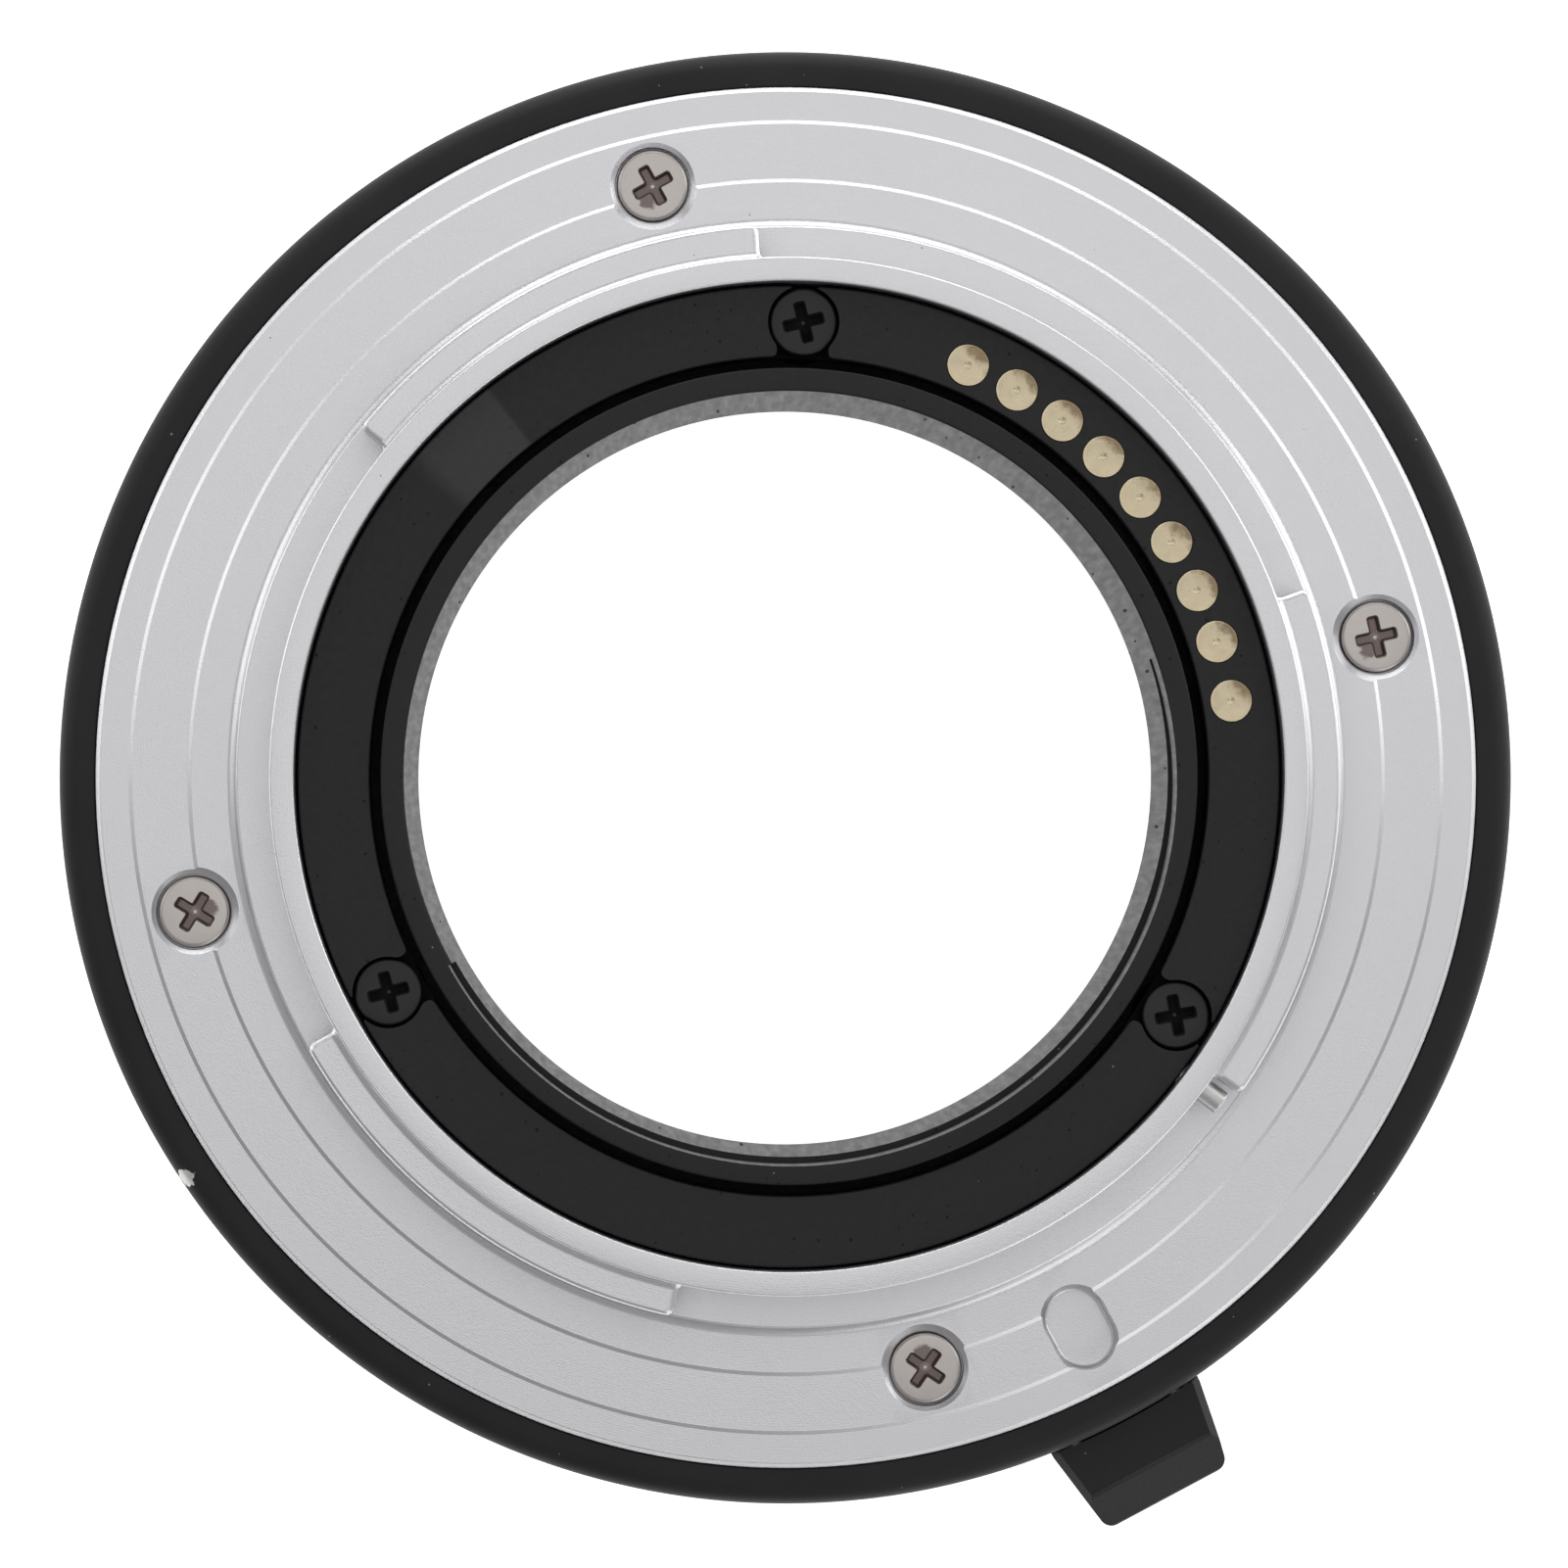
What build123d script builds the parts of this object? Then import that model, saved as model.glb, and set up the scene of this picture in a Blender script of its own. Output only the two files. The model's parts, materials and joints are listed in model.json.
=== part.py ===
from build123d import *

import os
from math import cos, radians, sin

# Macro extension tube for a mirrorless camera, in millimetres.
# The origin is on the optical axis, in the plane of the front flange that a lens seats on.
# +Z runs towards the camera. Angles are in degrees, anticlockwise from +X seen from the camera side.

# Flange planes
EXTENSION = 10.0
FIT_GAP = 0.05
TURNED_EDGE = 0.12
CUT_OVERRUN = 1.0
BEVEL_ANGLE = 45.0

# Light baffle, the moulded part that carries the contacts
BAFFLE_BORE_RADIUS = 15.84
BAFFLE_BORE_TAPER = 0.27
BAFFLE_WALL = 0.96
BAFFLE_REAR_LENGTH = 5.0
BAFFLE_EDGE = 0.1
REBATE_DEPTH = 0.17
REBATE_LENGTH = 2.8
REBATE_ARC = (209.0, 364.0)
BAFFLE_FLANGE_WIDTH = 0.7
BAFFLE_FLANGE_THICKNESS = 1.0

# Contact plate and its three screws
PLATE_INNER_GAP = 0.45
PLATE_WIDTH = 2.95
PLATE_OUTER_GAP = 0.13
PLATE_TOP_LENGTH = 4.7
PLATE_THICKNESS = 1.7
PLATE_EDGE = 0.08
PLATE_SCREW_MARGIN = 0.105
PLATE_SCREW_ANGLES = (88.2, 208.3, 328.3)
PLATE_SCREW_TURNS = (-74.5, -13.3, 42.2)
PLATE_POCKET_GAP = 0.17
PLATE_POCKET_DEPTH = 1.1
PLATE_NECK_WIDTH = 2.2
PLATE_SCREW_HEAD_HEIGHT = 0.75
PLATE_SCREW_SHANK_RADIUS = 0.5
PLATE_SCREW_SHANK_LENGTH = 3.4
PLATE_SCREW_CROSS_SPAN = 1.66

# Rear bayonet, the male side
MALE_TUBE_WALL = 1.02
MALE_TUBE_HEIGHT = 5.3
LUG_HEIGHT = 1.4
LUG_THICKNESS = 1.8
LUG_DROP = 0.7
LUG_CORNER = 0.35
LUG_FOOT = 0.3
LUG_EDGE = 0.15
LUG_ROOT_FILLET = 0.33
LUG_ARCS = ((93.2, 141.0), (209.2, 257.8), (324.8, 380.0))
REGISTER_LEDGE = 0.25
REGISTER_HEIGHT = 0.8
REGISTER_FOOT_FILLET = 0.42
REAR_PLATE_WIDTH = 5.9
REAR_PLATE_THICKNESS = 1.6
REAR_PLATE_BEVEL = 0.2
STEP_HEIGHT = 0.1
OUTER_STEP_WIDTH = 1.4
INNER_STEP_WIDTH = 2.04

# Barrel
BARREL_RIM_WIDTH = 1.6
BARREL_FRONT_INSET = 0.25
BARREL_REAR_INSET = 0.55
BARREL_FRONT_CHAMFER = 0.6
BARREL_REAR_FILLET = 0.95
SOCKET_CLEARANCE = 0.3
SHELF_CLEARANCE = 0.55
SHELF_THICKNESS = 1.0

# Lock pin and the recess that a camera's lock pin drops into
LOCK_ANGLE = 298.0
LOCK_OFFSET = 0.2
LOCK_PIN_RADIUS = 1.15
LOCK_PIN_NOSE_LENGTH = 1.2
LOCK_PIN_RIVET_RADIUS = 0.75
LOCK_PIN_TIP_FILLET = 0.3
LOCK_RECESS_PLAY_LENGTH = 1.2
LOCK_RECESS_PLAY_WIDTH = 0.25
LOCK_RECESS_DEPTH = 1.25
LOCK_RECESS_BEVEL = 0.4

# Stop pin in the side of the male tube
STOP_PIN_ANGLE = 322.9
STOP_PIN_RADIUS = 0.5
STOP_PIN_NOSE_LENGTH = 1.05
STOP_PIN_DROP = 0.7
STOP_PIN_SINK = 0.1

# Front bayonet, the female side
FRONT_RIM_WIDTH = 2.1
FRONT_RING_THICKNESS = 1.6
FRONT_RING_BEVEL = 0.2
THROAT_DEPTH = 0.95
TAB_CLEARANCE = 0.3
TAB_THICKNESS = 1.25
TAB_MARGIN_ANGLE = 4.5
COLLAR_WALL = 1.15

# Leaf spring behind the front bayonet
LEAF_GAP = 0.2
LEAF_THICKNESS = 0.2
LEAF_INSET = 0.25
LEAF_TONGUE_WIDTH = 0.95
LEAF_ROOT_ANGLE = 6.0

# Screws of the two bayonets
SCREW_INSET = 2.4
SCREW_HEAD_RADIUS = 1.51
SCREW_HEAD_HEIGHT = 0.75
SCREW_HEAD_FILLET = 0.15
SCREW_SHANK_RADIUS = 0.85
SCREW_SHANK_LENGTH = 4.2
SCREW_POCKET_GAP = 0.07
SCREW_POCKET_DEPTH = 1.0
SCREW_POCKET_BEVEL = 0.4
SCREW_CROSS_SPAN = 1.7
SCREW_CROSS_WIDTH = 0.42
SCREW_CROSS_DEPTH = 0.5
SCREW_CROSS_TAPER = 8.0
SCREW_END_GAP = 0.2
REAR_SCREW_ANGLES = (13.4, 102.8, 192.8, 283.2)
REAR_SCREW_TURNS = (-0.4, 16.4, 46.0, 42.5)
FRONT_SCREW_ANGLES = (58.4, 147.8, 237.8, 328.2)
FRONT_SCREW_TURNS = (25.0, 70.0, 5.0, 40.0)

# Contacts: flat pads at the rear, sprung pins at the front, on the same angles
CONTACT_INSET = 1.21
CONTACT_FIRST_ANGLE = 66.5
CONTACT_PITCH_ANGLE = 7.0
CONTACT_LAST_ANGLE = 9.7
CONTACT_COUNT = 9
PAD_RADIUS = 0.865
PAD_THICKNESS = 0.45
PAD_PROUD_HEIGHT = 0.04
PAD_DIMPLE_RADIUS = 0.12
PAD_DIMPLE_DEPTH = 0.06
PAD_STEM_RADIUS = 0.4

# Pin block and the sprung pins in it
BLOCK_GAP = 0.2
BLOCK_WIDTH = 3.0
BLOCK_HEIGHT = 2.5
BLOCK_START_ANGLE = -4.5
BLOCK_END_ANGLE = 80.5
BLOCK_FACE_THICKNESS = 0.5
BLOCK_CORNER = 0.5
BLOCK_SCREW_ANGLES = (0.0, 76.0)
BLOCK_SCREW_HEAD_RADIUS = 0.95
BLOCK_SCREW_HEAD_HEIGHT = 0.5
BLOCK_SCREW_SHANK_RADIUS = 0.4
BLOCK_SCREW_SINK = 0.1
BLOCK_SCREW_BITE = 0.5
BLOCK_SCREW_TURN = 20.0
BLOCK_SCREW_CROSS_SPAN = 1.2
BLOCK_SCREW_CROSS_WIDTH = 0.3
PIN_RADIUS = 0.42
PIN_NOSE_LENGTH = 0.75
PIN_TIP_FILLET = 0.24
PIN_COLLAR_WIDTH = 0.22
PIN_COLLAR_THICKNESS = 0.4
PIN_STEM_LENGTH = 0.5
PIN_STEM_GAP = 0.14
PIN_SPRING_GAP = 0.08
PIN_SPRING_WIRE = 0.12
PIN_SPRING_TURNS = 3

# Flexible circuit from the pins to the pads
FLEX_THICKNESS = 0.2
FLEX_INNER_MARGIN = 0.5
FLEX_OUTER_MARGIN = 0.6
FLEX_START_ANGLE = 5.0
FLEX_END_ANGLE = 71.0
RISER_START_ANGLE = 30.0
RISER_END_ANGLE = 46.0
RISER_MARGIN_ANGLE = 1.0
RISER_SLOT_GAP = 0.15

# Release lever: an arm in the barrel's pocket, a neck through its side and a finger tab outside
LEVER_ARM_HEIGHT = 4.0
LEVER_ARM_THICKNESS = 1.0
LEVER_ARM_WIDTH = 3.2
LEVER_ARM_MARGIN = 1.0
LEVER_POCKET_GAP = 0.3
LEVER_NECK_WIDTH = 4.4
LEVER_SIDE_GAP = 0.25
LEVER_TRAVEL = 1.3
POCKET_CORNER = 0.4
POCKET_ROOF_THICKNESS = 0.5
POCKET_RIM_WIDTH = 0.3
FINGER_GAP = 0.25
FINGER_LENGTH = 4.15
FINGER_SLOPE_LENGTH = 1.75
FINGER_SLOPE_DROP = 1.6
FINGER_BASE_WIDTH = 7.0
FINGER_END_WIDTH = 5.75
FINGER_FRONT_HEIGHT = 2.5
FINGER_REAR_HEIGHT = 6.9
FINGER_CORNER_FILLET = 0.6
FINGER_FRONT_CHAMFER = 0.7
FINGER_EDGE_FILLET = 0.2
GUIDE_OFFSET = 2.6
GUIDE_RADIUS = 0.5
GUIDE_HEAD_WIDTH = 0.4
GUIDE_HEAD_HEIGHT = 0.8
GUIDE_THREAD_LENGTH = 0.35
GUIDE_SLOT_WIDTH = 0.25
GUIDE_SLOT_DEPTH = 0.3
LEVER_SPRING_GAP = 0.12
LEVER_SPRING_WIRE = 0.2
LEVER_SPRING_TURNS = 4

# Index dot let into the barrel's side, where a lens's dot is lined up
INDEX_ANGLE = 150.0
INDEX_HEIGHT = 2.4
INDEX_RADIUS = 0.7
INDEX_DEPTH = 0.5
INDEX_SINK = 0.02

# Radii worked out from the optical axis outwards
BAFFLE_FRONT_BORE = BAFFLE_BORE_RADIUS - BAFFLE_BORE_TAPER
BAFFLE_OUTER_RADIUS = BAFFLE_BORE_RADIUS + BAFFLE_WALL
BLOCK_INNER_RADIUS = BAFFLE_OUTER_RADIUS + BLOCK_GAP
BLOCK_OUTER_RADIUS = BLOCK_INNER_RADIUS + BLOCK_WIDTH
FLEX_INNER_RADIUS = BLOCK_INNER_RADIUS + FLEX_INNER_MARGIN
FLEX_OUTER_RADIUS = BLOCK_OUTER_RADIUS - FLEX_OUTER_MARGIN
PLATE_INNER_RADIUS = BAFFLE_OUTER_RADIUS + PLATE_INNER_GAP
PLATE_OUTER_RADIUS = PLATE_INNER_RADIUS + PLATE_WIDTH
PLATE_SCREW_CIRCLE = (PLATE_INNER_RADIUS + PLATE_OUTER_RADIUS) / 2
PLATE_SCREW_HEAD_RADIUS = PLATE_WIDTH / 2 - PLATE_SCREW_MARGIN
PLATE_POCKET_RADIUS = PLATE_SCREW_HEAD_RADIUS + PLATE_POCKET_GAP
CONTACT_CIRCLE = PLATE_INNER_RADIUS + CONTACT_INSET
MALE_TUBE_BORE = PLATE_OUTER_RADIUS + PLATE_OUTER_GAP
MALE_TUBE_RADIUS = MALE_TUBE_BORE + MALE_TUBE_WALL
TAB_RADIUS = MALE_TUBE_RADIUS + TAB_CLEARANCE
LEAF_INNER_RADIUS = TAB_RADIUS + LEAF_INSET
LEAF_SLIT_RADIUS = LEAF_INNER_RADIUS + LEAF_TONGUE_WIDTH
SHELF_RADIUS = MALE_TUBE_RADIUS + SHELF_CLEARANCE
BAFFLE_FLANGE_RADIUS = SHELF_RADIUS + BAFFLE_FLANGE_WIDTH
LUG_RADIUS = MALE_TUBE_RADIUS + LUG_HEIGHT
REGISTER_RADIUS = LUG_RADIUS + REGISTER_LEDGE
THROAT_RADIUS = REGISTER_RADIUS + FIT_GAP
SOCKET_RADIUS = THROAT_RADIUS + SOCKET_CLEARANCE
COLLAR_RADIUS = THROAT_RADIUS + COLLAR_WALL
INNER_STEP_RADIUS = REGISTER_RADIUS + INNER_STEP_WIDTH
SCREW_CIRCLE = REGISTER_RADIUS + SCREW_INSET
SCREW_POCKET_RADIUS = SCREW_HEAD_RADIUS + SCREW_POCKET_GAP
REAR_PLATE_RADIUS = REGISTER_RADIUS + REAR_PLATE_WIDTH
OUTER_STEP_RADIUS = REAR_PLATE_RADIUS - OUTER_STEP_WIDTH
BARREL_RADIUS = REAR_PLATE_RADIUS + BARREL_RIM_WIDTH
FRONT_RING_RADIUS = BARREL_RADIUS - FRONT_RIM_WIDTH
LOCK_CIRCLE = (REGISTER_RADIUS + REAR_PLATE_RADIUS) / 2 + LOCK_OFFSET
POCKET_INNER_RADIUS = COLLAR_RADIUS + FIT_GAP
POCKET_OUTER_RADIUS = FRONT_RING_RADIUS - POCKET_RIM_WIDTH
LEVER_ARM_OUTER_RADIUS = POCKET_OUTER_RADIUS - LEVER_POCKET_GAP
LEVER_ARM_INNER_RADIUS = LEVER_ARM_OUTER_RADIUS - LEVER_ARM_WIDTH
FINGER_BASE_RADIUS = BARREL_RADIUS + FINGER_GAP
FINGER_END_RADIUS = BARREL_RADIUS + FINGER_LENGTH
FINGER_CREASE_RADIUS = FINGER_END_RADIUS - FINGER_SLOPE_LENGTH

# Radii and widths of the small pieces that fit in each other
PIN_COLLAR_RADIUS = PIN_RADIUS + PIN_COLLAR_WIDTH
CHAMBER_RADIUS = PIN_COLLAR_RADIUS + PIN_SPRING_GAP
PIN_SPRING_RADIUS = PIN_COLLAR_RADIUS - PIN_SPRING_GAP - PIN_SPRING_WIRE / 2
PIN_STEM_RADIUS = PIN_SPRING_RADIUS - PIN_SPRING_WIRE / 2 - PIN_STEM_GAP
LOCK_RECESS_LENGTH = 2 * LOCK_PIN_RADIUS + LOCK_RECESS_PLAY_LENGTH
LOCK_RECESS_WIDTH = 2 * LOCK_PIN_RADIUS + LOCK_RECESS_PLAY_WIDTH
GUIDE_HEAD_RADIUS = GUIDE_RADIUS + GUIDE_HEAD_WIDTH
LEVER_SPRING_RADIUS = GUIDE_RADIUS + LEVER_SPRING_GAP + LEVER_SPRING_WIRE / 2
LEVER_ARM_LENGTH = 2 * (GUIDE_OFFSET + LEVER_ARM_MARGIN)

# Heights worked out from the front flange to the rear
TAB_REAR = THROAT_DEPTH + TAB_THICKNESS
COLLAR_DEPTH = TAB_REAR + LEAF_GAP
LEAF_REAR = COLLAR_DEPTH + LEAF_THICKNESS
ARM_REAR = LEVER_ARM_HEIGHT + LEVER_ARM_THICKNESS
FINGER_END_REAR = FINGER_REAR_HEIGHT - FINGER_SLOPE_DROP
REAR_FLANGE = EXTENSION
REAR_SEAT = REAR_FLANGE - REAR_PLATE_THICKNESS
BARREL_REAR = REAR_FLANGE - BARREL_REAR_INSET
POCKET_ROOF = REAR_SEAT - POCKET_ROOF_THICKNESS
NECK_SLOT_REAR = ARM_REAR + LEVER_TRAVEL + LEVER_SIDE_GAP
BAFFLE_FLANGE_FRONT = REAR_SEAT - BAFFLE_FLANGE_THICKNESS
BAFFLE_FRONT = BAFFLE_FLANGE_FRONT - BLOCK_HEIGHT
SHELF_FRONT = BAFFLE_FLANGE_FRONT - SHELF_THICKNESS
SPRING_SEAT = BAFFLE_FLANGE_FRONT - FLEX_THICKNESS
COLLAR_SEAT = BAFFLE_FRONT + BLOCK_FACE_THICKNESS
RIM = REAR_FLANGE + MALE_TUBE_HEIGHT
LUG_REAR = RIM - LUG_DROP
STOP_PIN_HEIGHT = LUG_REAR - STOP_PIN_DROP
PLATE_REAR = REAR_FLANGE + PLATE_TOP_LENGTH
PLATE_UNDERSIDE = PLATE_REAR - PLATE_THICKNESS
BAFFLE_REAR = REAR_FLANGE + BAFFLE_REAR_LENGTH
CONTACT_ANGLES = [CONTACT_FIRST_ANGLE - CONTACT_PITCH_ANGLE * i for i in range(CONTACT_COUNT - 1)]
CONTACT_ANGLES.append(CONTACT_LAST_ANGLE)


def polar_plane(radius, angle, height=0.0, turn=0.0, facing=1):
    """Level plane at a polar place, facing the rear (1) or the front (-1), with x turned from the radius."""
    x = radius * cos(radians(angle))
    y = radius * sin(radians(angle))
    heading = (cos(radians(angle + turn)), sin(radians(angle + turn)), 0)
    return Plane(origin=(x, y, height), x_dir=heading, z_dir=(0, 0, facing))


def side_plane(radius, angle, height):
    """Upright plane at a polar place, facing away from the optical axis."""
    heading = (cos(radians(angle)), sin(radians(angle)), 0)
    return Plane(origin=(radius * heading[0], radius * heading[1], height), z_dir=heading)


def arc_band(height, inner, outer, start, end):
    """Flat band at a height, between two radii and two angles."""
    with BuildSketch(Plane.XY.offset(height)) as band:
        with BuildLine():
            outside = CenterArc((0, 0), outer, start, end - start)
            inside = CenterArc((0, 0), inner, start, end - start)
            Line(outside @ 0, inside @ 0)
            Line(outside @ 1, inside @ 1)
        make_face()
    return band.sketch


def cross_head_screw(head_radius, head_height, shank_radius, shank_length, span, width, depth):
    """Screw with a cross recess, the middle of its head's face at the origin and its shank down -Z."""
    with BuildPart() as screw:
        with BuildSketch():
            Circle(head_radius)
        extrude(amount=-head_height)
        fillet(screw.edges().group_by(Axis.Z)[-1], min(SCREW_HEAD_FILLET, head_height / 3))
        with BuildSketch(Plane.XY.offset(-head_height)):
            Circle(shank_radius)
        extrude(amount=-shank_length)
        with BuildSketch():
            Rectangle(span, width)
            Rectangle(width, span)
        extrude(amount=-depth, taper=SCREW_CROSS_TAPER, mode=Mode.SUBTRACT)
    return screw.part


def coil_spring(coil_radius, wire, turns, length):
    """Coil of square wire that stands on the origin and is as long as its seat."""
    rise = length - wire
    with BuildPart() as coil:
        with BuildLine() as path:
            Helix(pitch=rise / turns, height=rise, radius=coil_radius, center=(0, 0, wire / 2))
        with BuildSketch(Plane(path.line @ 0, z_dir=path.line % 0)):
            Rectangle(wire, wire)
        sweep(is_frenet=True)
    return coil.part


# Barrel: a turned ring with a front recess for the bayonet, a shelf for the baffle and a rear seat
with BuildPart() as barrel:
    with BuildSketch(Plane.XZ):
        with BuildLine():
            Polyline(
                (FRONT_RING_RADIUS + FIT_GAP, BARREL_FRONT_INSET),
                (BARREL_RADIUS - BARREL_FRONT_CHAMFER, BARREL_FRONT_INSET),
                (BARREL_RADIUS, BARREL_FRONT_INSET + BARREL_FRONT_CHAMFER),
                (BARREL_RADIUS, BARREL_REAR),
                (REAR_PLATE_RADIUS + FIT_GAP, BARREL_REAR),
                (REAR_PLATE_RADIUS + FIT_GAP, REAR_SEAT),
                (BAFFLE_FLANGE_RADIUS + FIT_GAP, REAR_SEAT),
                (BAFFLE_FLANGE_RADIUS + FIT_GAP, BAFFLE_FLANGE_FRONT),
                (SHELF_RADIUS, BAFFLE_FLANGE_FRONT),
                (SHELF_RADIUS, SHELF_FRONT),
                (SOCKET_RADIUS, SHELF_FRONT),
                (SOCKET_RADIUS, LEAF_REAR),
                (COLLAR_RADIUS + FIT_GAP, LEAF_REAR),
                (COLLAR_RADIUS + FIT_GAP, FRONT_RING_THICKNESS),
                (FRONT_RING_RADIUS + FIT_GAP, FRONT_RING_THICKNESS),
                close=True,
            )
        make_face()
    revolve(axis=Axis.Z)
    rear_edges = barrel.edges().filter_by(GeomType.CIRCLE).group_by(Axis.Z)[-1]
    fillet(rear_edges.sort_by(SortBy.RADIUS)[-1], BARREL_REAR_FILLET)
    # Screw holes from both ends
    with Locations([polar_plane(SCREW_CIRCLE, angle, REAR_SEAT) for angle in REAR_SCREW_ANGLES]):
        Hole(SCREW_SHANK_RADIUS, depth=SCREW_SHANK_LENGTH)
    front_holes = [polar_plane(SCREW_CIRCLE, a, FRONT_RING_THICKNESS, facing=-1) for a in FRONT_SCREW_ANGLES]
    with Locations(front_holes):
        Hole(SCREW_SHANK_RADIUS, depth=SCREW_SHANK_LENGTH)
    # Pocket and side slot of the release lever, both open to the front
    with BuildSketch(polar_plane(0, LOCK_ANGLE, POCKET_ROOF)):
        with Locations(((POCKET_INNER_RADIUS + POCKET_OUTER_RADIUS) / 2, 0)):
            RectangleRounded(
                POCKET_OUTER_RADIUS - POCKET_INNER_RADIUS,
                LEVER_ARM_LENGTH + 2 * LEVER_SIDE_GAP,
                POCKET_CORNER,
            )
    extrude(amount=-POCKET_ROOF, mode=Mode.SUBTRACT)
    with BuildSketch(polar_plane(0, LOCK_ANGLE, NECK_SLOT_REAR)):
        with Locations(((POCKET_OUTER_RADIUS + BARREL_RADIUS) / 2, 0)):
            Rectangle(
                BARREL_RADIUS - POCKET_OUTER_RADIUS + 2 * CUT_OVERRUN,
                LEVER_NECK_WIDTH + 2 * LEVER_SIDE_GAP,
            )
    extrude(amount=-NECK_SLOT_REAR, mode=Mode.SUBTRACT)
    with BuildSketch(polar_plane(0, LOCK_ANGLE, POCKET_ROOF)):
        with Locations((LOCK_CIRCLE, -GUIDE_OFFSET), (LOCK_CIRCLE, GUIDE_OFFSET)):
            Circle(GUIDE_RADIUS)
    extrude(amount=GUIDE_THREAD_LENGTH, mode=Mode.SUBTRACT)
    # Blind hole of the index dot
    index_place = side_plane(BARREL_RADIUS, INDEX_ANGLE, INDEX_HEIGHT)
    with BuildSketch(index_place):
        Circle(INDEX_RADIUS)
    extrude(amount=-INDEX_DEPTH, mode=Mode.SUBTRACT)

# Index dot, flush with the barrel's side
with BuildPart() as index_dot:
    with BuildSketch(index_place.offset(-INDEX_DEPTH)):
        Circle(INDEX_RADIUS)
    extrude(amount=INDEX_DEPTH - INDEX_SINK)

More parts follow.
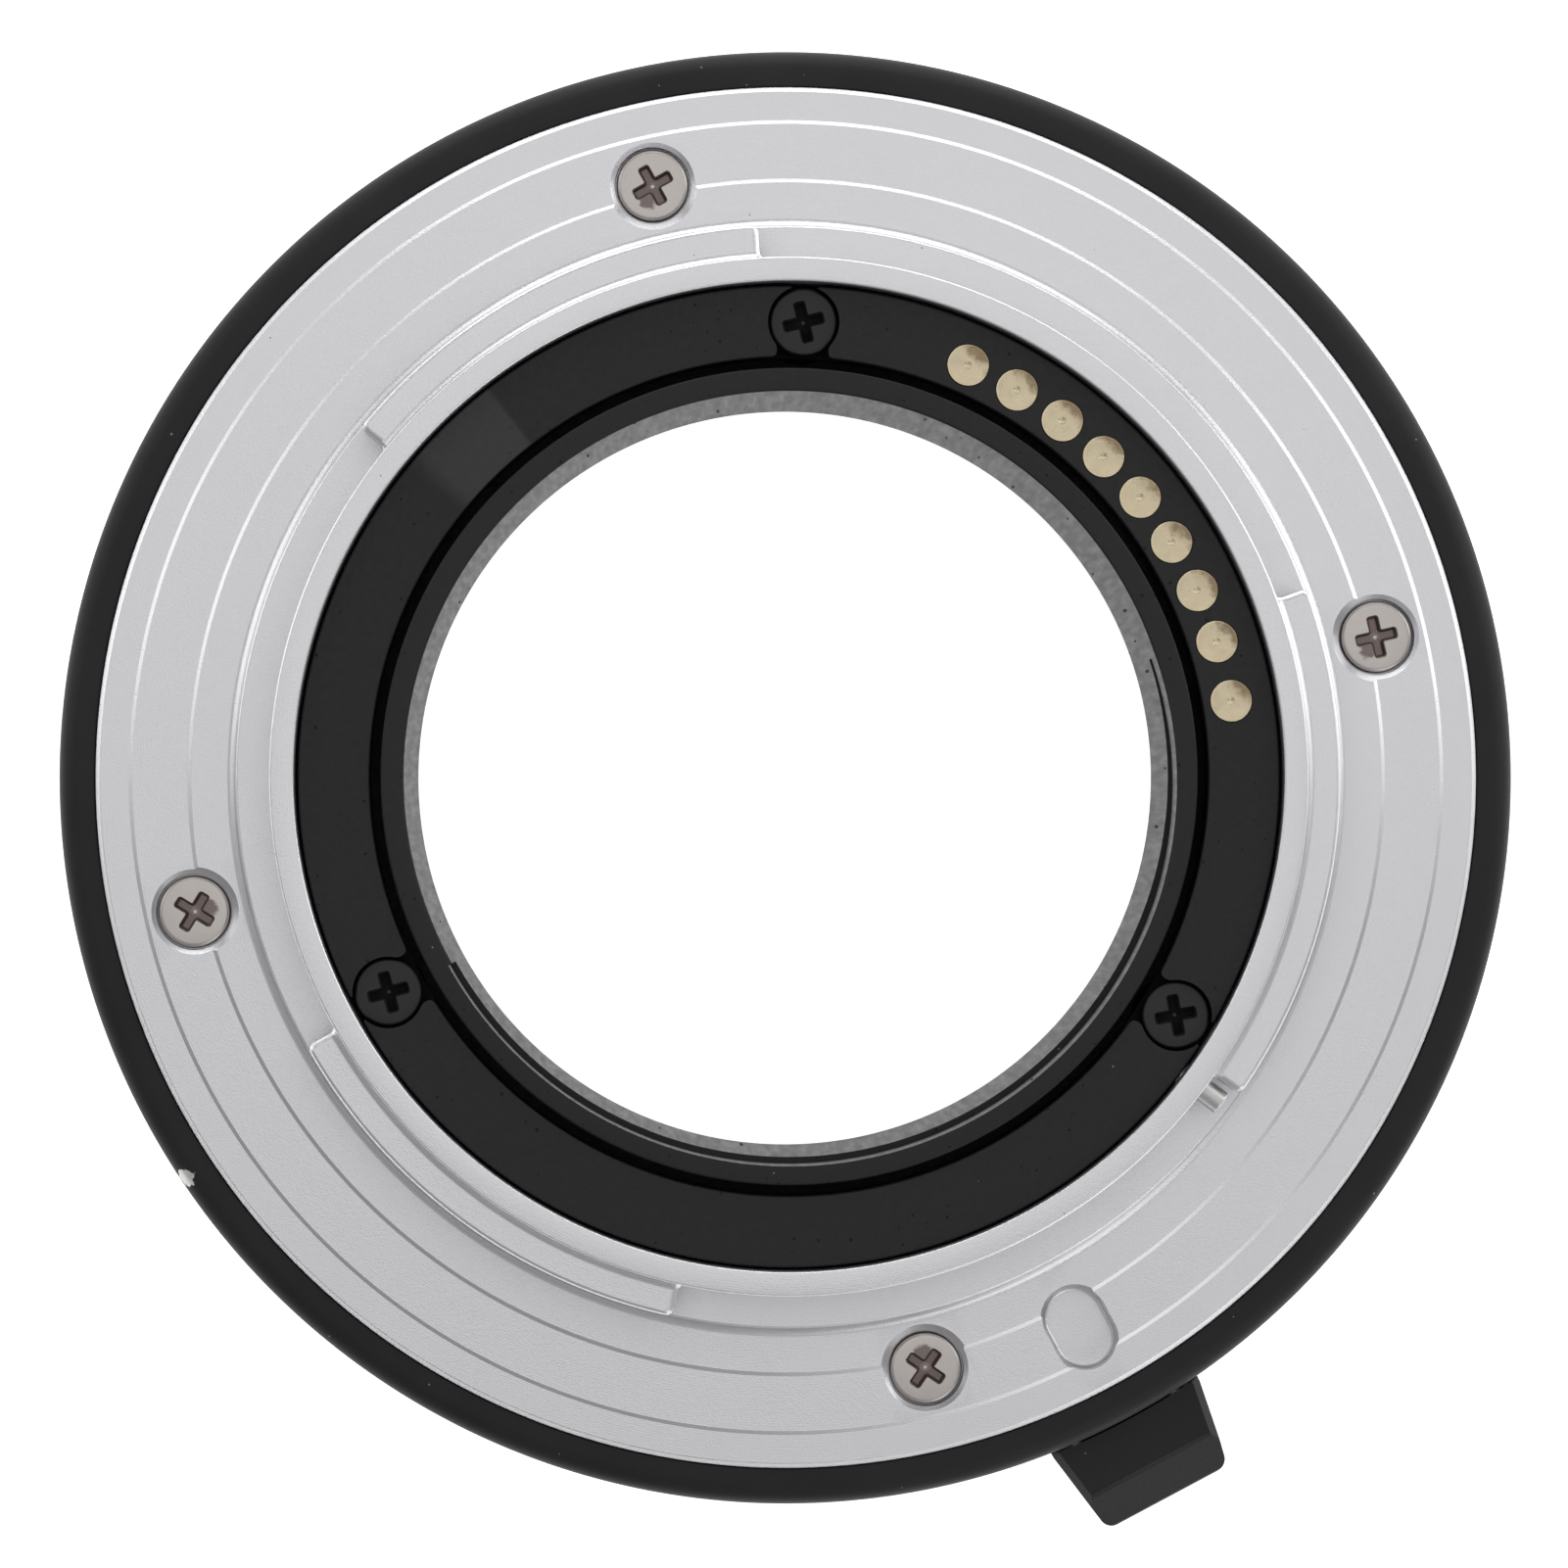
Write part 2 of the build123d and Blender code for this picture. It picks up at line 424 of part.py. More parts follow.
# Rear bayonet: flange plate in three fine steps, register boss, tube and three lugs, turned in one piece
with BuildPart() as rear_bayonet:
    with BuildSketch(Plane.XZ):
        with BuildLine():
            Polyline(
                (MALE_TUBE_BORE, REAR_SEAT),
                (REAR_PLATE_RADIUS, REAR_SEAT),
                (REAR_PLATE_RADIUS, REAR_FLANGE - 2 * STEP_HEIGHT - REAR_PLATE_BEVEL),
                (REAR_PLATE_RADIUS - REAR_PLATE_BEVEL, REAR_FLANGE - 2 * STEP_HEIGHT),
                (OUTER_STEP_RADIUS, REAR_FLANGE - 2 * STEP_HEIGHT),
                (OUTER_STEP_RADIUS - STEP_HEIGHT, REAR_FLANGE - STEP_HEIGHT),
                (INNER_STEP_RADIUS, REAR_FLANGE - STEP_HEIGHT),
                (INNER_STEP_RADIUS - STEP_HEIGHT, REAR_FLANGE),
                (REGISTER_RADIUS, REAR_FLANGE),
                (REGISTER_RADIUS, REAR_FLANGE + REGISTER_HEIGHT),
                (MALE_TUBE_RADIUS, REAR_FLANGE + REGISTER_HEIGHT),
                (MALE_TUBE_RADIUS, RIM - TURNED_EDGE),
                (MALE_TUBE_RADIUS - TURNED_EDGE, RIM),
                (MALE_TUBE_BORE + TURNED_EDGE, RIM),
                (MALE_TUBE_BORE, RIM - TURNED_EDGE),
                close=True,
            )
        make_face()
    revolve(axis=Axis.Z)
    flange_edges = rear_bayonet.edges().filter_by(GeomType.CIRCLE).filter_by(
        lambda edge: abs(edge.center().Z - REAR_FLANGE) < STEP_HEIGHT / 2
    )
    fillet(flange_edges.sort_by(SortBy.RADIUS)[0], REGISTER_FOOT_FILLET)
    # Lugs: one outline round the tube with rounded corners, its rear edge bevelled all round
    with BuildSketch(Plane.XY.offset(LUG_REAR - LUG_EDGE)) as lug_outline:
        Circle(MALE_TUBE_RADIUS)
        for lug_start, lug_end in LUG_ARCS:
            add(arc_band(0, MALE_TUBE_BORE, LUG_RADIUS, lug_start, lug_end))
        fillet(lug_outline.vertices().group_by(SortBy.DISTANCE)[-1], LUG_CORNER)
        fillet(lug_outline.vertices().group_by(SortBy.DISTANCE)[0], LUG_FOOT)
        Circle(MALE_TUBE_BORE, mode=Mode.SUBTRACT)
    extrude(amount=LUG_EDGE - LUG_THICKNESS)
    extrude(lug_outline.sketch, amount=LUG_EDGE, taper=BEVEL_ANGLE)
    # Concave root where the tube's rim rises from each lug
    for lug_start, lug_end in LUG_ARCS:
        with BuildSketch(Plane.XZ.rotated((0, 0, lug_start))):
            with BuildLine():
                root_top = (MALE_TUBE_RADIUS, LUG_REAR + LUG_ROOT_FILLET)
                root_foot = (MALE_TUBE_RADIUS + LUG_ROOT_FILLET, LUG_REAR)
                root_curve = RadiusArc(root_top, root_foot, -LUG_ROOT_FILLET)
                Polyline(
                    root_curve @ 1,
                    (MALE_TUBE_RADIUS + LUG_ROOT_FILLET, LUG_REAR - LUG_ROOT_FILLET),
                    (MALE_TUBE_RADIUS - LUG_ROOT_FILLET, LUG_REAR - LUG_ROOT_FILLET),
                    (MALE_TUBE_RADIUS - LUG_ROOT_FILLET, LUG_REAR + LUG_ROOT_FILLET),
                    root_curve @ 0,
                )
            make_face()
        revolve(axis=Axis.Z, revolution_arc=lug_end - lug_start)
    # Counterbored screw holes and the lock recess, with bevelled edges
    screw_places = [polar_plane(SCREW_CIRCLE, angle, REAR_FLANGE) for angle in REAR_SCREW_ANGLES]
    with Locations(screw_places):
        CounterBoreHole(SCREW_SHANK_RADIUS, SCREW_POCKET_RADIUS, SCREW_POCKET_DEPTH)
    with Locations([place.offset(STEP_HEIGHT - SCREW_POCKET_BEVEL) for place in screw_places]):
        Cone(
            SCREW_POCKET_RADIUS,
            SCREW_POCKET_RADIUS + SCREW_POCKET_BEVEL,
            SCREW_POCKET_BEVEL,
            align=(Align.CENTER, Align.CENTER, Align.MIN),
            mode=Mode.SUBTRACT,
        )
    lock_place = polar_plane(LOCK_CIRCLE, LOCK_ANGLE, REAR_FLANGE)
    with BuildSketch(lock_place):
        SlotOverall(LOCK_RECESS_LENGTH, LOCK_RECESS_WIDTH)
    extrude(amount=-LOCK_RECESS_DEPTH, mode=Mode.SUBTRACT)
    with BuildSketch(lock_place.offset(STEP_HEIGHT)):
        SlotOverall(LOCK_RECESS_LENGTH + 2 * LOCK_RECESS_BEVEL, LOCK_RECESS_WIDTH + 2 * LOCK_RECESS_BEVEL)
    extrude(amount=-LOCK_RECESS_BEVEL, taper=BEVEL_ANGLE, mode=Mode.SUBTRACT)
    stop_place = side_plane(MALE_TUBE_BORE, STOP_PIN_ANGLE, STOP_PIN_HEIGHT)
    with BuildSketch(stop_place):
        Circle(STOP_PIN_RADIUS)
    extrude(amount=LUG_RADIUS - MALE_TUBE_BORE + CUT_OVERRUN, both=True, mode=Mode.SUBTRACT)

# Stop pin, pressed into the male tube from its side
with BuildPart() as stop_pin:
    with BuildSketch(stop_place.offset(STOP_PIN_SINK)):
        Circle(STOP_PIN_RADIUS)
    extrude(amount=MALE_TUBE_RADIUS - MALE_TUBE_BORE - STOP_PIN_SINK + STOP_PIN_NOSE_LENGTH)
    fillet(stop_pin.faces().sort_by(lambda face: face.center().length)[-1].edges(), TURNED_EDGE)

# Four screws hold the rear bayonet to the barrel
mount_screw = cross_head_screw(
    SCREW_HEAD_RADIUS,
    SCREW_HEAD_HEIGHT,
    SCREW_SHANK_RADIUS,
    SCREW_SHANK_LENGTH - SCREW_END_GAP,
    SCREW_CROSS_SPAN,
    SCREW_CROSS_WIDTH,
    SCREW_CROSS_DEPTH,
)
SCREW_FACE_DEPTH = SCREW_POCKET_DEPTH - SCREW_HEAD_HEIGHT
with BuildPart() as rear_mount_screws:
    for angle, turn in zip(REAR_SCREW_ANGLES, REAR_SCREW_TURNS):
        with Locations(polar_plane(SCREW_CIRCLE, angle, REAR_FLANGE - SCREW_FACE_DEPTH, turn)):
            add(mount_screw)

# Front bayonet: flange ring, throat, collar and three tabs that hold a lens's lugs
with BuildPart() as front_bayonet:
    with BuildSketch(Plane.XZ):
        with BuildLine():
            Polyline(
                (THROAT_RADIUS, 0),
                (FRONT_RING_RADIUS - FRONT_RING_BEVEL, 0),
                (FRONT_RING_RADIUS, FRONT_RING_BEVEL),
                (FRONT_RING_RADIUS, FRONT_RING_THICKNESS),
                (COLLAR_RADIUS, FRONT_RING_THICKNESS),
                (COLLAR_RADIUS, COLLAR_DEPTH),
                (SOCKET_RADIUS, COLLAR_DEPTH),
                (SOCKET_RADIUS, THROAT_DEPTH),
                (THROAT_RADIUS, THROAT_DEPTH),
                close=True,
            )
        make_face()
    revolve(axis=Axis.Z)
    for lug_start, lug_end in LUG_ARCS:
        tab_arc = (lug_start - TAB_MARGIN_ANGLE, lug_end + TAB_MARGIN_ANGLE)
        tab = arc_band(THROAT_DEPTH, TAB_RADIUS, (SOCKET_RADIUS + COLLAR_RADIUS) / 2, *tab_arc)
        extrude(tab, amount=TAB_THICKNESS)
    with Locations([polar_plane(SCREW_CIRCLE, angle, 0, facing=-1) for angle in FRONT_SCREW_ANGLES]):
        CounterBoreHole(SCREW_SHANK_RADIUS, SCREW_POCKET_RADIUS, SCREW_POCKET_DEPTH)
    with Locations(polar_plane(LOCK_CIRCLE, LOCK_ANGLE, 0, facing=-1)):
        Hole(LOCK_PIN_RADIUS + FIT_GAP)

# Four screws hold the front bayonet to the barrel
with BuildPart() as front_mount_screws:
    for angle, turn in zip(FRONT_SCREW_ANGLES, FRONT_SCREW_TURNS):
        with Locations(polar_plane(SCREW_CIRCLE, angle, SCREW_FACE_DEPTH, turn, facing=-1)):
            add(mount_screw)

# Leaf spring: a thin ring with a tongue behind each tab, which draws a lens's lugs against the flange
with BuildPart() as bayonet_spring:
    with BuildSketch(Plane.XY.offset(COLLAR_DEPTH)):
        Circle(COLLAR_RADIUS)
        Circle(SOCKET_RADIUS, mode=Mode.SUBTRACT)
    extrude(amount=LEAF_THICKNESS)
    for lug_start, lug_end in LUG_ARCS:
        tongue = arc_band(COLLAR_DEPTH, LEAF_INNER_RADIUS, LEAF_SLIT_RADIUS, lug_start, lug_end)
        extrude(tongue, amount=LEAF_THICKNESS)
        root_end = lug_start + LEAF_ROOT_ANGLE
        root = arc_band(COLLAR_DEPTH, LEAF_INNER_RADIUS, COLLAR_RADIUS, lug_start, root_end)
        extrude(root, amount=LEAF_THICKNESS)

# Light baffle: tapered tube, mounting flange and three posts under the contact plate
with BuildPart() as light_baffle:
    with BuildSketch(Plane.XZ):
        with BuildLine():
            Polyline(
                (BAFFLE_FRONT_BORE, BAFFLE_FRONT),
                (BAFFLE_OUTER_RADIUS, BAFFLE_FRONT),
                (BAFFLE_OUTER_RADIUS, BAFFLE_FLANGE_FRONT),
                (BAFFLE_FLANGE_RADIUS, BAFFLE_FLANGE_FRONT),
                (BAFFLE_FLANGE_RADIUS, REAR_SEAT),
                (BAFFLE_OUTER_RADIUS, REAR_SEAT),
                (BAFFLE_OUTER_RADIUS, BAFFLE_REAR - BAFFLE_EDGE),
                (BAFFLE_OUTER_RADIUS - BAFFLE_EDGE, BAFFLE_REAR),
                (BAFFLE_BORE_RADIUS + BAFFLE_EDGE, BAFFLE_REAR),
                (BAFFLE_BORE_RADIUS, BAFFLE_REAR - BAFFLE_EDGE),
                close=True,
            )
        make_face()
    revolve(axis=Axis.Z)
    with BuildSketch(Plane.XY.offset(REAR_SEAT)):
        with Locations([polar_plane(PLATE_SCREW_CIRCLE, angle) for angle in PLATE_SCREW_ANGLES]):
            Circle(PLATE_SCREW_HEAD_RADIUS)
    extrude(amount=PLATE_UNDERSIDE - REAR_SEAT)
    with Locations([polar_plane(PLATE_SCREW_CIRCLE, angle, PLATE_UNDERSIDE) for angle in PLATE_SCREW_ANGLES]):
        Hole(PLATE_SCREW_SHANK_RADIUS, depth=PLATE_SCREW_SHANK_LENGTH)
    block_holes = [polar_plane(CONTACT_CIRCLE, a, BAFFLE_FLANGE_FRONT, facing=-1) for a in BLOCK_SCREW_ANGLES]
    with Locations(block_holes):
        Hole(BLOCK_SCREW_SHANK_RADIUS, depth=BLOCK_SCREW_BITE + SCREW_END_GAP)
    # Rebate along part of the bore's rear edge
    rebate = arc_band(BAFFLE_REAR, BAFFLE_FRONT_BORE, BAFFLE_BORE_RADIUS + REBATE_DEPTH, *REBATE_ARC)
    extrude(rebate, amount=-REBATE_LENGTH, mode=Mode.SUBTRACT)
    riser_slot = arc_band(
        BAFFLE_FLANGE_FRONT,
        FLEX_INNER_RADIUS - RISER_SLOT_GAP,
        FLEX_INNER_RADIUS + FLEX_THICKNESS + RISER_SLOT_GAP,
        RISER_START_ANGLE - RISER_MARGIN_ANGLE,
        RISER_END_ANGLE + RISER_MARGIN_ANGLE,
    )
    extrude(riser_slot, amount=BAFFLE_FLANGE_THICKNESS, mode=Mode.SUBTRACT)

# Contact plate: ring with a keyhole pocket for each screw and a hole for each pad
with BuildPart() as contact_plate:
    with BuildSketch(Plane.XZ):
        with BuildLine():
            Polyline(
                (PLATE_INNER_RADIUS, PLATE_UNDERSIDE),
                (PLATE_OUTER_RADIUS, PLATE_UNDERSIDE),
                (PLATE_OUTER_RADIUS, PLATE_REAR - PLATE_EDGE),
                (PLATE_OUTER_RADIUS - PLATE_EDGE, PLATE_REAR),
                (PLATE_INNER_RADIUS + PLATE_EDGE, PLATE_REAR),
                (PLATE_INNER_RADIUS, PLATE_REAR - PLATE_EDGE),
                close=True,
            )
        make_face()
    revolve(axis=Axis.Z)
    for angle in PLATE_SCREW_ANGLES:
        with BuildSketch(polar_plane(PLATE_SCREW_CIRCLE, angle, PLATE_REAR)):
            Circle(PLATE_POCKET_RADIUS)
            with Locations((-PLATE_POCKET_RADIUS, 0)):
                Rectangle(2 * PLATE_POCKET_RADIUS, PLATE_NECK_WIDTH)
        extrude(amount=-PLATE_POCKET_DEPTH, mode=Mode.SUBTRACT)
        # Bevel round the pocket's mouth, cut from above the plate so that it runs past the face
        with BuildSketch(polar_plane(PLATE_SCREW_CIRCLE, angle, PLATE_REAR + PLATE_EDGE)):
            Circle(PLATE_POCKET_RADIUS + 2 * PLATE_EDGE)
            with Locations((-PLATE_POCKET_RADIUS, 0)):
                Rectangle(2 * PLATE_POCKET_RADIUS, PLATE_NECK_WIDTH + 4 * PLATE_EDGE)
        extrude(amount=-2 * PLATE_EDGE, taper=BEVEL_ANGLE, mode=Mode.SUBTRACT)
    with Locations([polar_plane(PLATE_SCREW_CIRCLE, angle, PLATE_REAR) for angle in PLATE_SCREW_ANGLES]):
        Hole(PLATE_SCREW_SHANK_RADIUS + FIT_GAP)
    with Locations([polar_plane(CONTACT_CIRCLE, angle, PLATE_REAR) for angle in CONTACT_ANGLES]):
        CounterBoreHole(PAD_STEM_RADIUS, PAD_RADIUS, PAD_THICKNESS - PAD_PROUD_HEIGHT)

# Three screws hold the contact plate to the posts
plate_screw = cross_head_screw(
    PLATE_SCREW_HEAD_RADIUS,
    PLATE_SCREW_HEAD_HEIGHT,
    PLATE_SCREW_SHANK_RADIUS,
    PLATE_SCREW_SHANK_LENGTH,
    PLATE_SCREW_CROSS_SPAN,
    SCREW_CROSS_WIDTH,
    SCREW_CROSS_DEPTH,
)
PLATE_SCREW_FACE = PLATE_REAR - PLATE_POCKET_DEPTH + PLATE_SCREW_HEAD_HEIGHT
with BuildPart() as contact_plate_screws:
    for angle, turn in zip(PLATE_SCREW_ANGLES, PLATE_SCREW_TURNS):
        with Locations(polar_plane(PLATE_SCREW_CIRCLE, angle, PLATE_SCREW_FACE, turn)):
            add(plate_screw)

# Contact pads: headed rivets let into the plate, their stems down to the flexible circuit
with BuildPart() as pad_form:
    with BuildSketch():
        Circle(PAD_RADIUS)
    extrude(amount=-PAD_THICKNESS)
    chamfer(pad_form.edges().group_by(Axis.Z)[-1], PAD_PROUD_HEIGHT)
    with BuildSketch(Plane.XY.offset(-PAD_THICKNESS)):
        Circle(PAD_STEM_RADIUS)
    extrude(amount=PAD_THICKNESS - PLATE_THICKNESS - PAD_PROUD_HEIGHT)
    with BuildSketch():
        Circle(PAD_DIMPLE_RADIUS)
    extrude(amount=-PAD_DIMPLE_DEPTH, taper=BEVEL_ANGLE, mode=Mode.SUBTRACT)

contact_pads = []
for angle in CONTACT_ANGLES:
    with BuildPart() as contact_pad:
        with Locations(polar_plane(CONTACT_CIRCLE, angle, PLATE_REAR + PAD_PROUD_HEIGHT)):
            add(pad_form.part)
    contact_pads.append(contact_pad)

# Pin block: curved moulding at the front of the baffle's flange, with a stepped chamber for each pin
with BuildPart() as pin_block:
    block = arc_band(BAFFLE_FRONT, BLOCK_INNER_RADIUS, BLOCK_OUTER_RADIUS, BLOCK_START_ANGLE, BLOCK_END_ANGLE)
    extrude(block, amount=BLOCK_HEIGHT)
    fillet(pin_block.edges().filter_by(Axis.Z), BLOCK_CORNER)
    flex_arc = (FLEX_START_ANGLE, FLEX_END_ANGLE)
    flex_recess = arc_band(SPRING_SEAT, FLEX_INNER_RADIUS, FLEX_OUTER_RADIUS, *flex_arc)
    extrude(flex_recess, amount=FLEX_THICKNESS, mode=Mode.SUBTRACT)
    with Locations([polar_plane(CONTACT_CIRCLE, angle, SPRING_SEAT) for angle in CONTACT_ANGLES]):
        CounterBoreHole(PIN_RADIUS + FIT_GAP, CHAMBER_RADIUS, SPRING_SEAT - COLLAR_SEAT)
    with Locations([polar_plane(CONTACT_CIRCLE, a, BAFFLE_FRONT, facing=-1) for a in BLOCK_SCREW_ANGLES]):
        CounterBoreHole(
            BLOCK_SCREW_SHANK_RADIUS,
            BLOCK_SCREW_HEAD_RADIUS + FIT_GAP,
            BLOCK_SCREW_HEAD_HEIGHT + BLOCK_SCREW_SINK,
        )

# Two small screws hold the pin block to the baffle
block_screw = cross_head_screw(
    BLOCK_SCREW_HEAD_RADIUS,
    BLOCK_SCREW_HEAD_HEIGHT,
    BLOCK_SCREW_SHANK_RADIUS,
    BLOCK_HEIGHT - BLOCK_SCREW_HEAD_HEIGHT + BLOCK_SCREW_BITE,
    BLOCK_SCREW_CROSS_SPAN,
    BLOCK_SCREW_CROSS_WIDTH,
    BLOCK_SCREW_CROSS_WIDTH,
)
BLOCK_SCREW_FACE = BAFFLE_FRONT + BLOCK_SCREW_SINK
with BuildPart() as pin_block_screws:
    for angle in BLOCK_SCREW_ANGLES:
        with Locations(polar_plane(CONTACT_CIRCLE, angle, BLOCK_SCREW_FACE, BLOCK_SCREW_TURN, facing=-1)):
            add(block_screw)

# Sprung contact pins: rounded tip, collar behind the block's face, stem inside the spring
PIN_LENGTH = COLLAR_SEAT - BAFFLE_FRONT + PIN_NOSE_LENGTH
with BuildPart() as pin_form:
    with BuildSketch(Plane.XZ):
        with BuildLine():
            tip_start = (PIN_RADIUS - PIN_TIP_FILLET, 0)
            tip = RadiusArc(tip_start, (PIN_RADIUS, PIN_TIP_FILLET), -PIN_TIP_FILLET)
            Polyline(
                tip @ 1,
                (PIN_RADIUS, PIN_LENGTH),
                (PIN_COLLAR_RADIUS, PIN_LENGTH),
                (PIN_COLLAR_RADIUS, PIN_LENGTH + PIN_COLLAR_THICKNESS),
                (PIN_STEM_RADIUS, PIN_LENGTH + PIN_COLLAR_THICKNESS),
                (PIN_STEM_RADIUS, PIN_LENGTH + PIN_COLLAR_THICKNESS + PIN_STEM_LENGTH),
                (0, PIN_LENGTH + PIN_COLLAR_THICKNESS + PIN_STEM_LENGTH),
                (0, 0),
                tip @ 0,
            )
        make_face()
    revolve(axis=Axis.Z)

contact_pins = []
for angle in CONTACT_ANGLES:
    with BuildPart() as contact_pin:
        with Locations(polar_plane(CONTACT_CIRCLE, angle, BAFFLE_FRONT - PIN_NOSE_LENGTH)):
            add(pin_form.part)
    contact_pins.append(contact_pin)

# A small coil behind each pin, between its collar and the flexible circuit
pin_coil = coil_spring(
    PIN_SPRING_RADIUS,
    PIN_SPRING_WIRE,
    PIN_SPRING_TURNS,
    SPRING_SEAT - COLLAR_SEAT - PIN_COLLAR_THICKNESS,
)
pin_springs = []
for angle in CONTACT_ANGLES:
    with BuildPart() as pin_spring:
        with Locations(polar_plane(CONTACT_CIRCLE, angle, COLLAR_SEAT + PIN_COLLAR_THICKNESS)):
            add(pin_coil)
    pin_springs.append(pin_spring)

# Flexible circuit: an arc over the pins, a riser through the baffle's flange and an arc under the pads
with BuildPart() as flex_circuit:
    pin_arc = arc_band(SPRING_SEAT, FLEX_INNER_RADIUS, FLEX_OUTER_RADIUS, *flex_arc)
    extrude(pin_arc, amount=FLEX_THICKNESS)
    riser_radius = FLEX_INNER_RADIUS + FLEX_THICKNESS
    riser = arc_band(SPRING_SEAT, FLEX_INNER_RADIUS, riser_radius, RISER_START_ANGLE, RISER_END_ANGLE)
    extrude(riser, amount=PLATE_UNDERSIDE - SPRING_SEAT)
    pad_arc = arc_band(PLATE_UNDERSIDE - FLEX_THICKNESS, FLEX_INNER_RADIUS, FLEX_OUTER_RADIUS, *flex_arc)
    extrude(pad_arc, amount=FLEX_THICKNESS)

# Release lever: arm in the barrel's pocket, neck through the side slot and a finger tab outside
lever_plane = polar_plane(0, LOCK_ANGLE)
lever_side = Plane(origin=(0, 0, 0), x_dir=lever_plane.x_dir, z_dir=-lever_plane.y_dir)
with BuildPart() as release_lever:
    with BuildSketch(lever_side):
        with BuildLine():
            Polyline(
                (FINGER_BASE_RADIUS, FINGER_FRONT_HEIGHT),
                (FINGER_END_RADIUS - FINGER_FRONT_CHAMFER, FINGER_FRONT_HEIGHT),
                (FINGER_END_RADIUS, FINGER_FRONT_HEIGHT + FINGER_FRONT_CHAMFER),
                (FINGER_END_RADIUS, FINGER_END_REAR),
                (FINGER_CREASE_RADIUS, FINGER_REAR_HEIGHT),
                (FINGER_BASE_RADIUS, FINGER_REAR_HEIGHT),
                close=True,
            )
        make_face()
    extrude(amount=FINGER_BASE_WIDTH / 2, both=True)
    with BuildSketch(lever_plane.offset(FINGER_FRONT_HEIGHT)):
        with BuildLine():
            Polyline(
                (FINGER_BASE_RADIUS - CUT_OVERRUN, FINGER_BASE_WIDTH / 2),
                (FINGER_BASE_RADIUS, FINGER_BASE_WIDTH / 2),
                (FINGER_END_RADIUS, FINGER_END_WIDTH / 2),
                (FINGER_END_RADIUS, -FINGER_END_WIDTH / 2),
                (FINGER_BASE_RADIUS, -FINGER_BASE_WIDTH / 2),
                (FINGER_BASE_RADIUS - CUT_OVERRUN, -FINGER_BASE_WIDTH / 2),
                close=True,
            )
        make_face()
    extrude(amount=FINGER_REAR_HEIGHT - FINGER_FRONT_HEIGHT, mode=Mode.INTERSECT)
    end_corners = release_lever.edges().filter_by(Axis.Z).group_by(SortBy.DISTANCE)[-1]
    fillet(end_corners, FINGER_CORNER_FILLET)
    outer_edges = release_lever.edges().filter_by(lambda edge: edge.center().length > FINGER_BASE_RADIUS)
    fillet(outer_edges, FINGER_EDGE_FILLET)
    with BuildSketch(Plane.XY.offset(FINGER_FRONT_HEIGHT)):
        Circle(FINGER_BASE_RADIUS)
    extrude(amount=FINGER_REAR_HEIGHT - FINGER_FRONT_HEIGHT, mode=Mode.SUBTRACT)
    with BuildSketch(lever_plane.offset(LEVER_ARM_HEIGHT)):
        with Locations(((LEVER_ARM_INNER_RADIUS + LEVER_ARM_OUTER_RADIUS) / 2, 0)):
            RectangleRounded(LEVER_ARM_WIDTH, LEVER_ARM_LENGTH, POCKET_CORNER)
        with Locations(((LEVER_ARM_OUTER_RADIUS + FINGER_BASE_RADIUS) / 2, 0)):
            Rectangle(FINGER_BASE_RADIUS - LEVER_ARM_OUTER_RADIUS + CUT_OVERRUN, LEVER_NECK_WIDTH)
        with Locations((LOCK_CIRCLE, 0)):
            Circle(LOCK_PIN_RIVET_RADIUS, mode=Mode.SUBTRACT)
        with Locations((LOCK_CIRCLE, -GUIDE_OFFSET), (LOCK_CIRCLE, GUIDE_OFFSET)):
            Circle(GUIDE_RADIUS + FIT_GAP, mode=Mode.SUBTRACT)
    extrude(amount=LEVER_ARM_THICKNESS)

# Lock pin, riveted into the lever's arm and standing proud of the front flange
with BuildPart() as lock_pin:
    with BuildSketch(polar_plane(LOCK_CIRCLE, LOCK_ANGLE, -LOCK_PIN_NOSE_LENGTH)):
        Circle(LOCK_PIN_RADIUS)
    extrude(amount=LEVER_ARM_HEIGHT + LOCK_PIN_NOSE_LENGTH)
    fillet(lock_pin.edges().group_by(Axis.Z)[0], LOCK_PIN_TIP_FILLET)
    with BuildSketch(polar_plane(LOCK_CIRCLE, LOCK_ANGLE, LEVER_ARM_HEIGHT)):
        Circle(LOCK_PIN_RIVET_RADIUS)
    extrude(amount=LEVER_ARM_THICKNESS)

# Two shoulder screws in the pocket's roof guide the lever, and their heads stop it at rest
guide_places = [
    lever_plane.location * Location((LOCK_CIRCLE, side * GUIDE_OFFSET, 0)) for side in (-1, 1)
]
with BuildPart() as guide_form:
    with Locations((0, 0, LEVER_ARM_HEIGHT - GUIDE_HEAD_HEIGHT)):
        Cylinder(GUIDE_HEAD_RADIUS, GUIDE_HEAD_HEIGHT, align=(Align.CENTER, Align.CENTER, Align.MIN))
        Box(
            2 * GUIDE_HEAD_RADIUS,
            GUIDE_SLOT_WIDTH,
            GUIDE_SLOT_DEPTH,
            align=(Align.CENTER, Align.CENTER, Align.MIN),
            mode=Mode.SUBTRACT,
        )
    with Locations((0, 0, LEVER_ARM_HEIGHT)):
        Cylinder(
            GUIDE_RADIUS,
            POCKET_ROOF + GUIDE_THREAD_LENGTH - LEVER_ARM_HEIGHT,
            align=(Align.CENTER, Align.CENTER, Align.MIN),
        )
with BuildPart() as lever_guide_screws:
    with Locations(guide_places):
        add(guide_form.part)

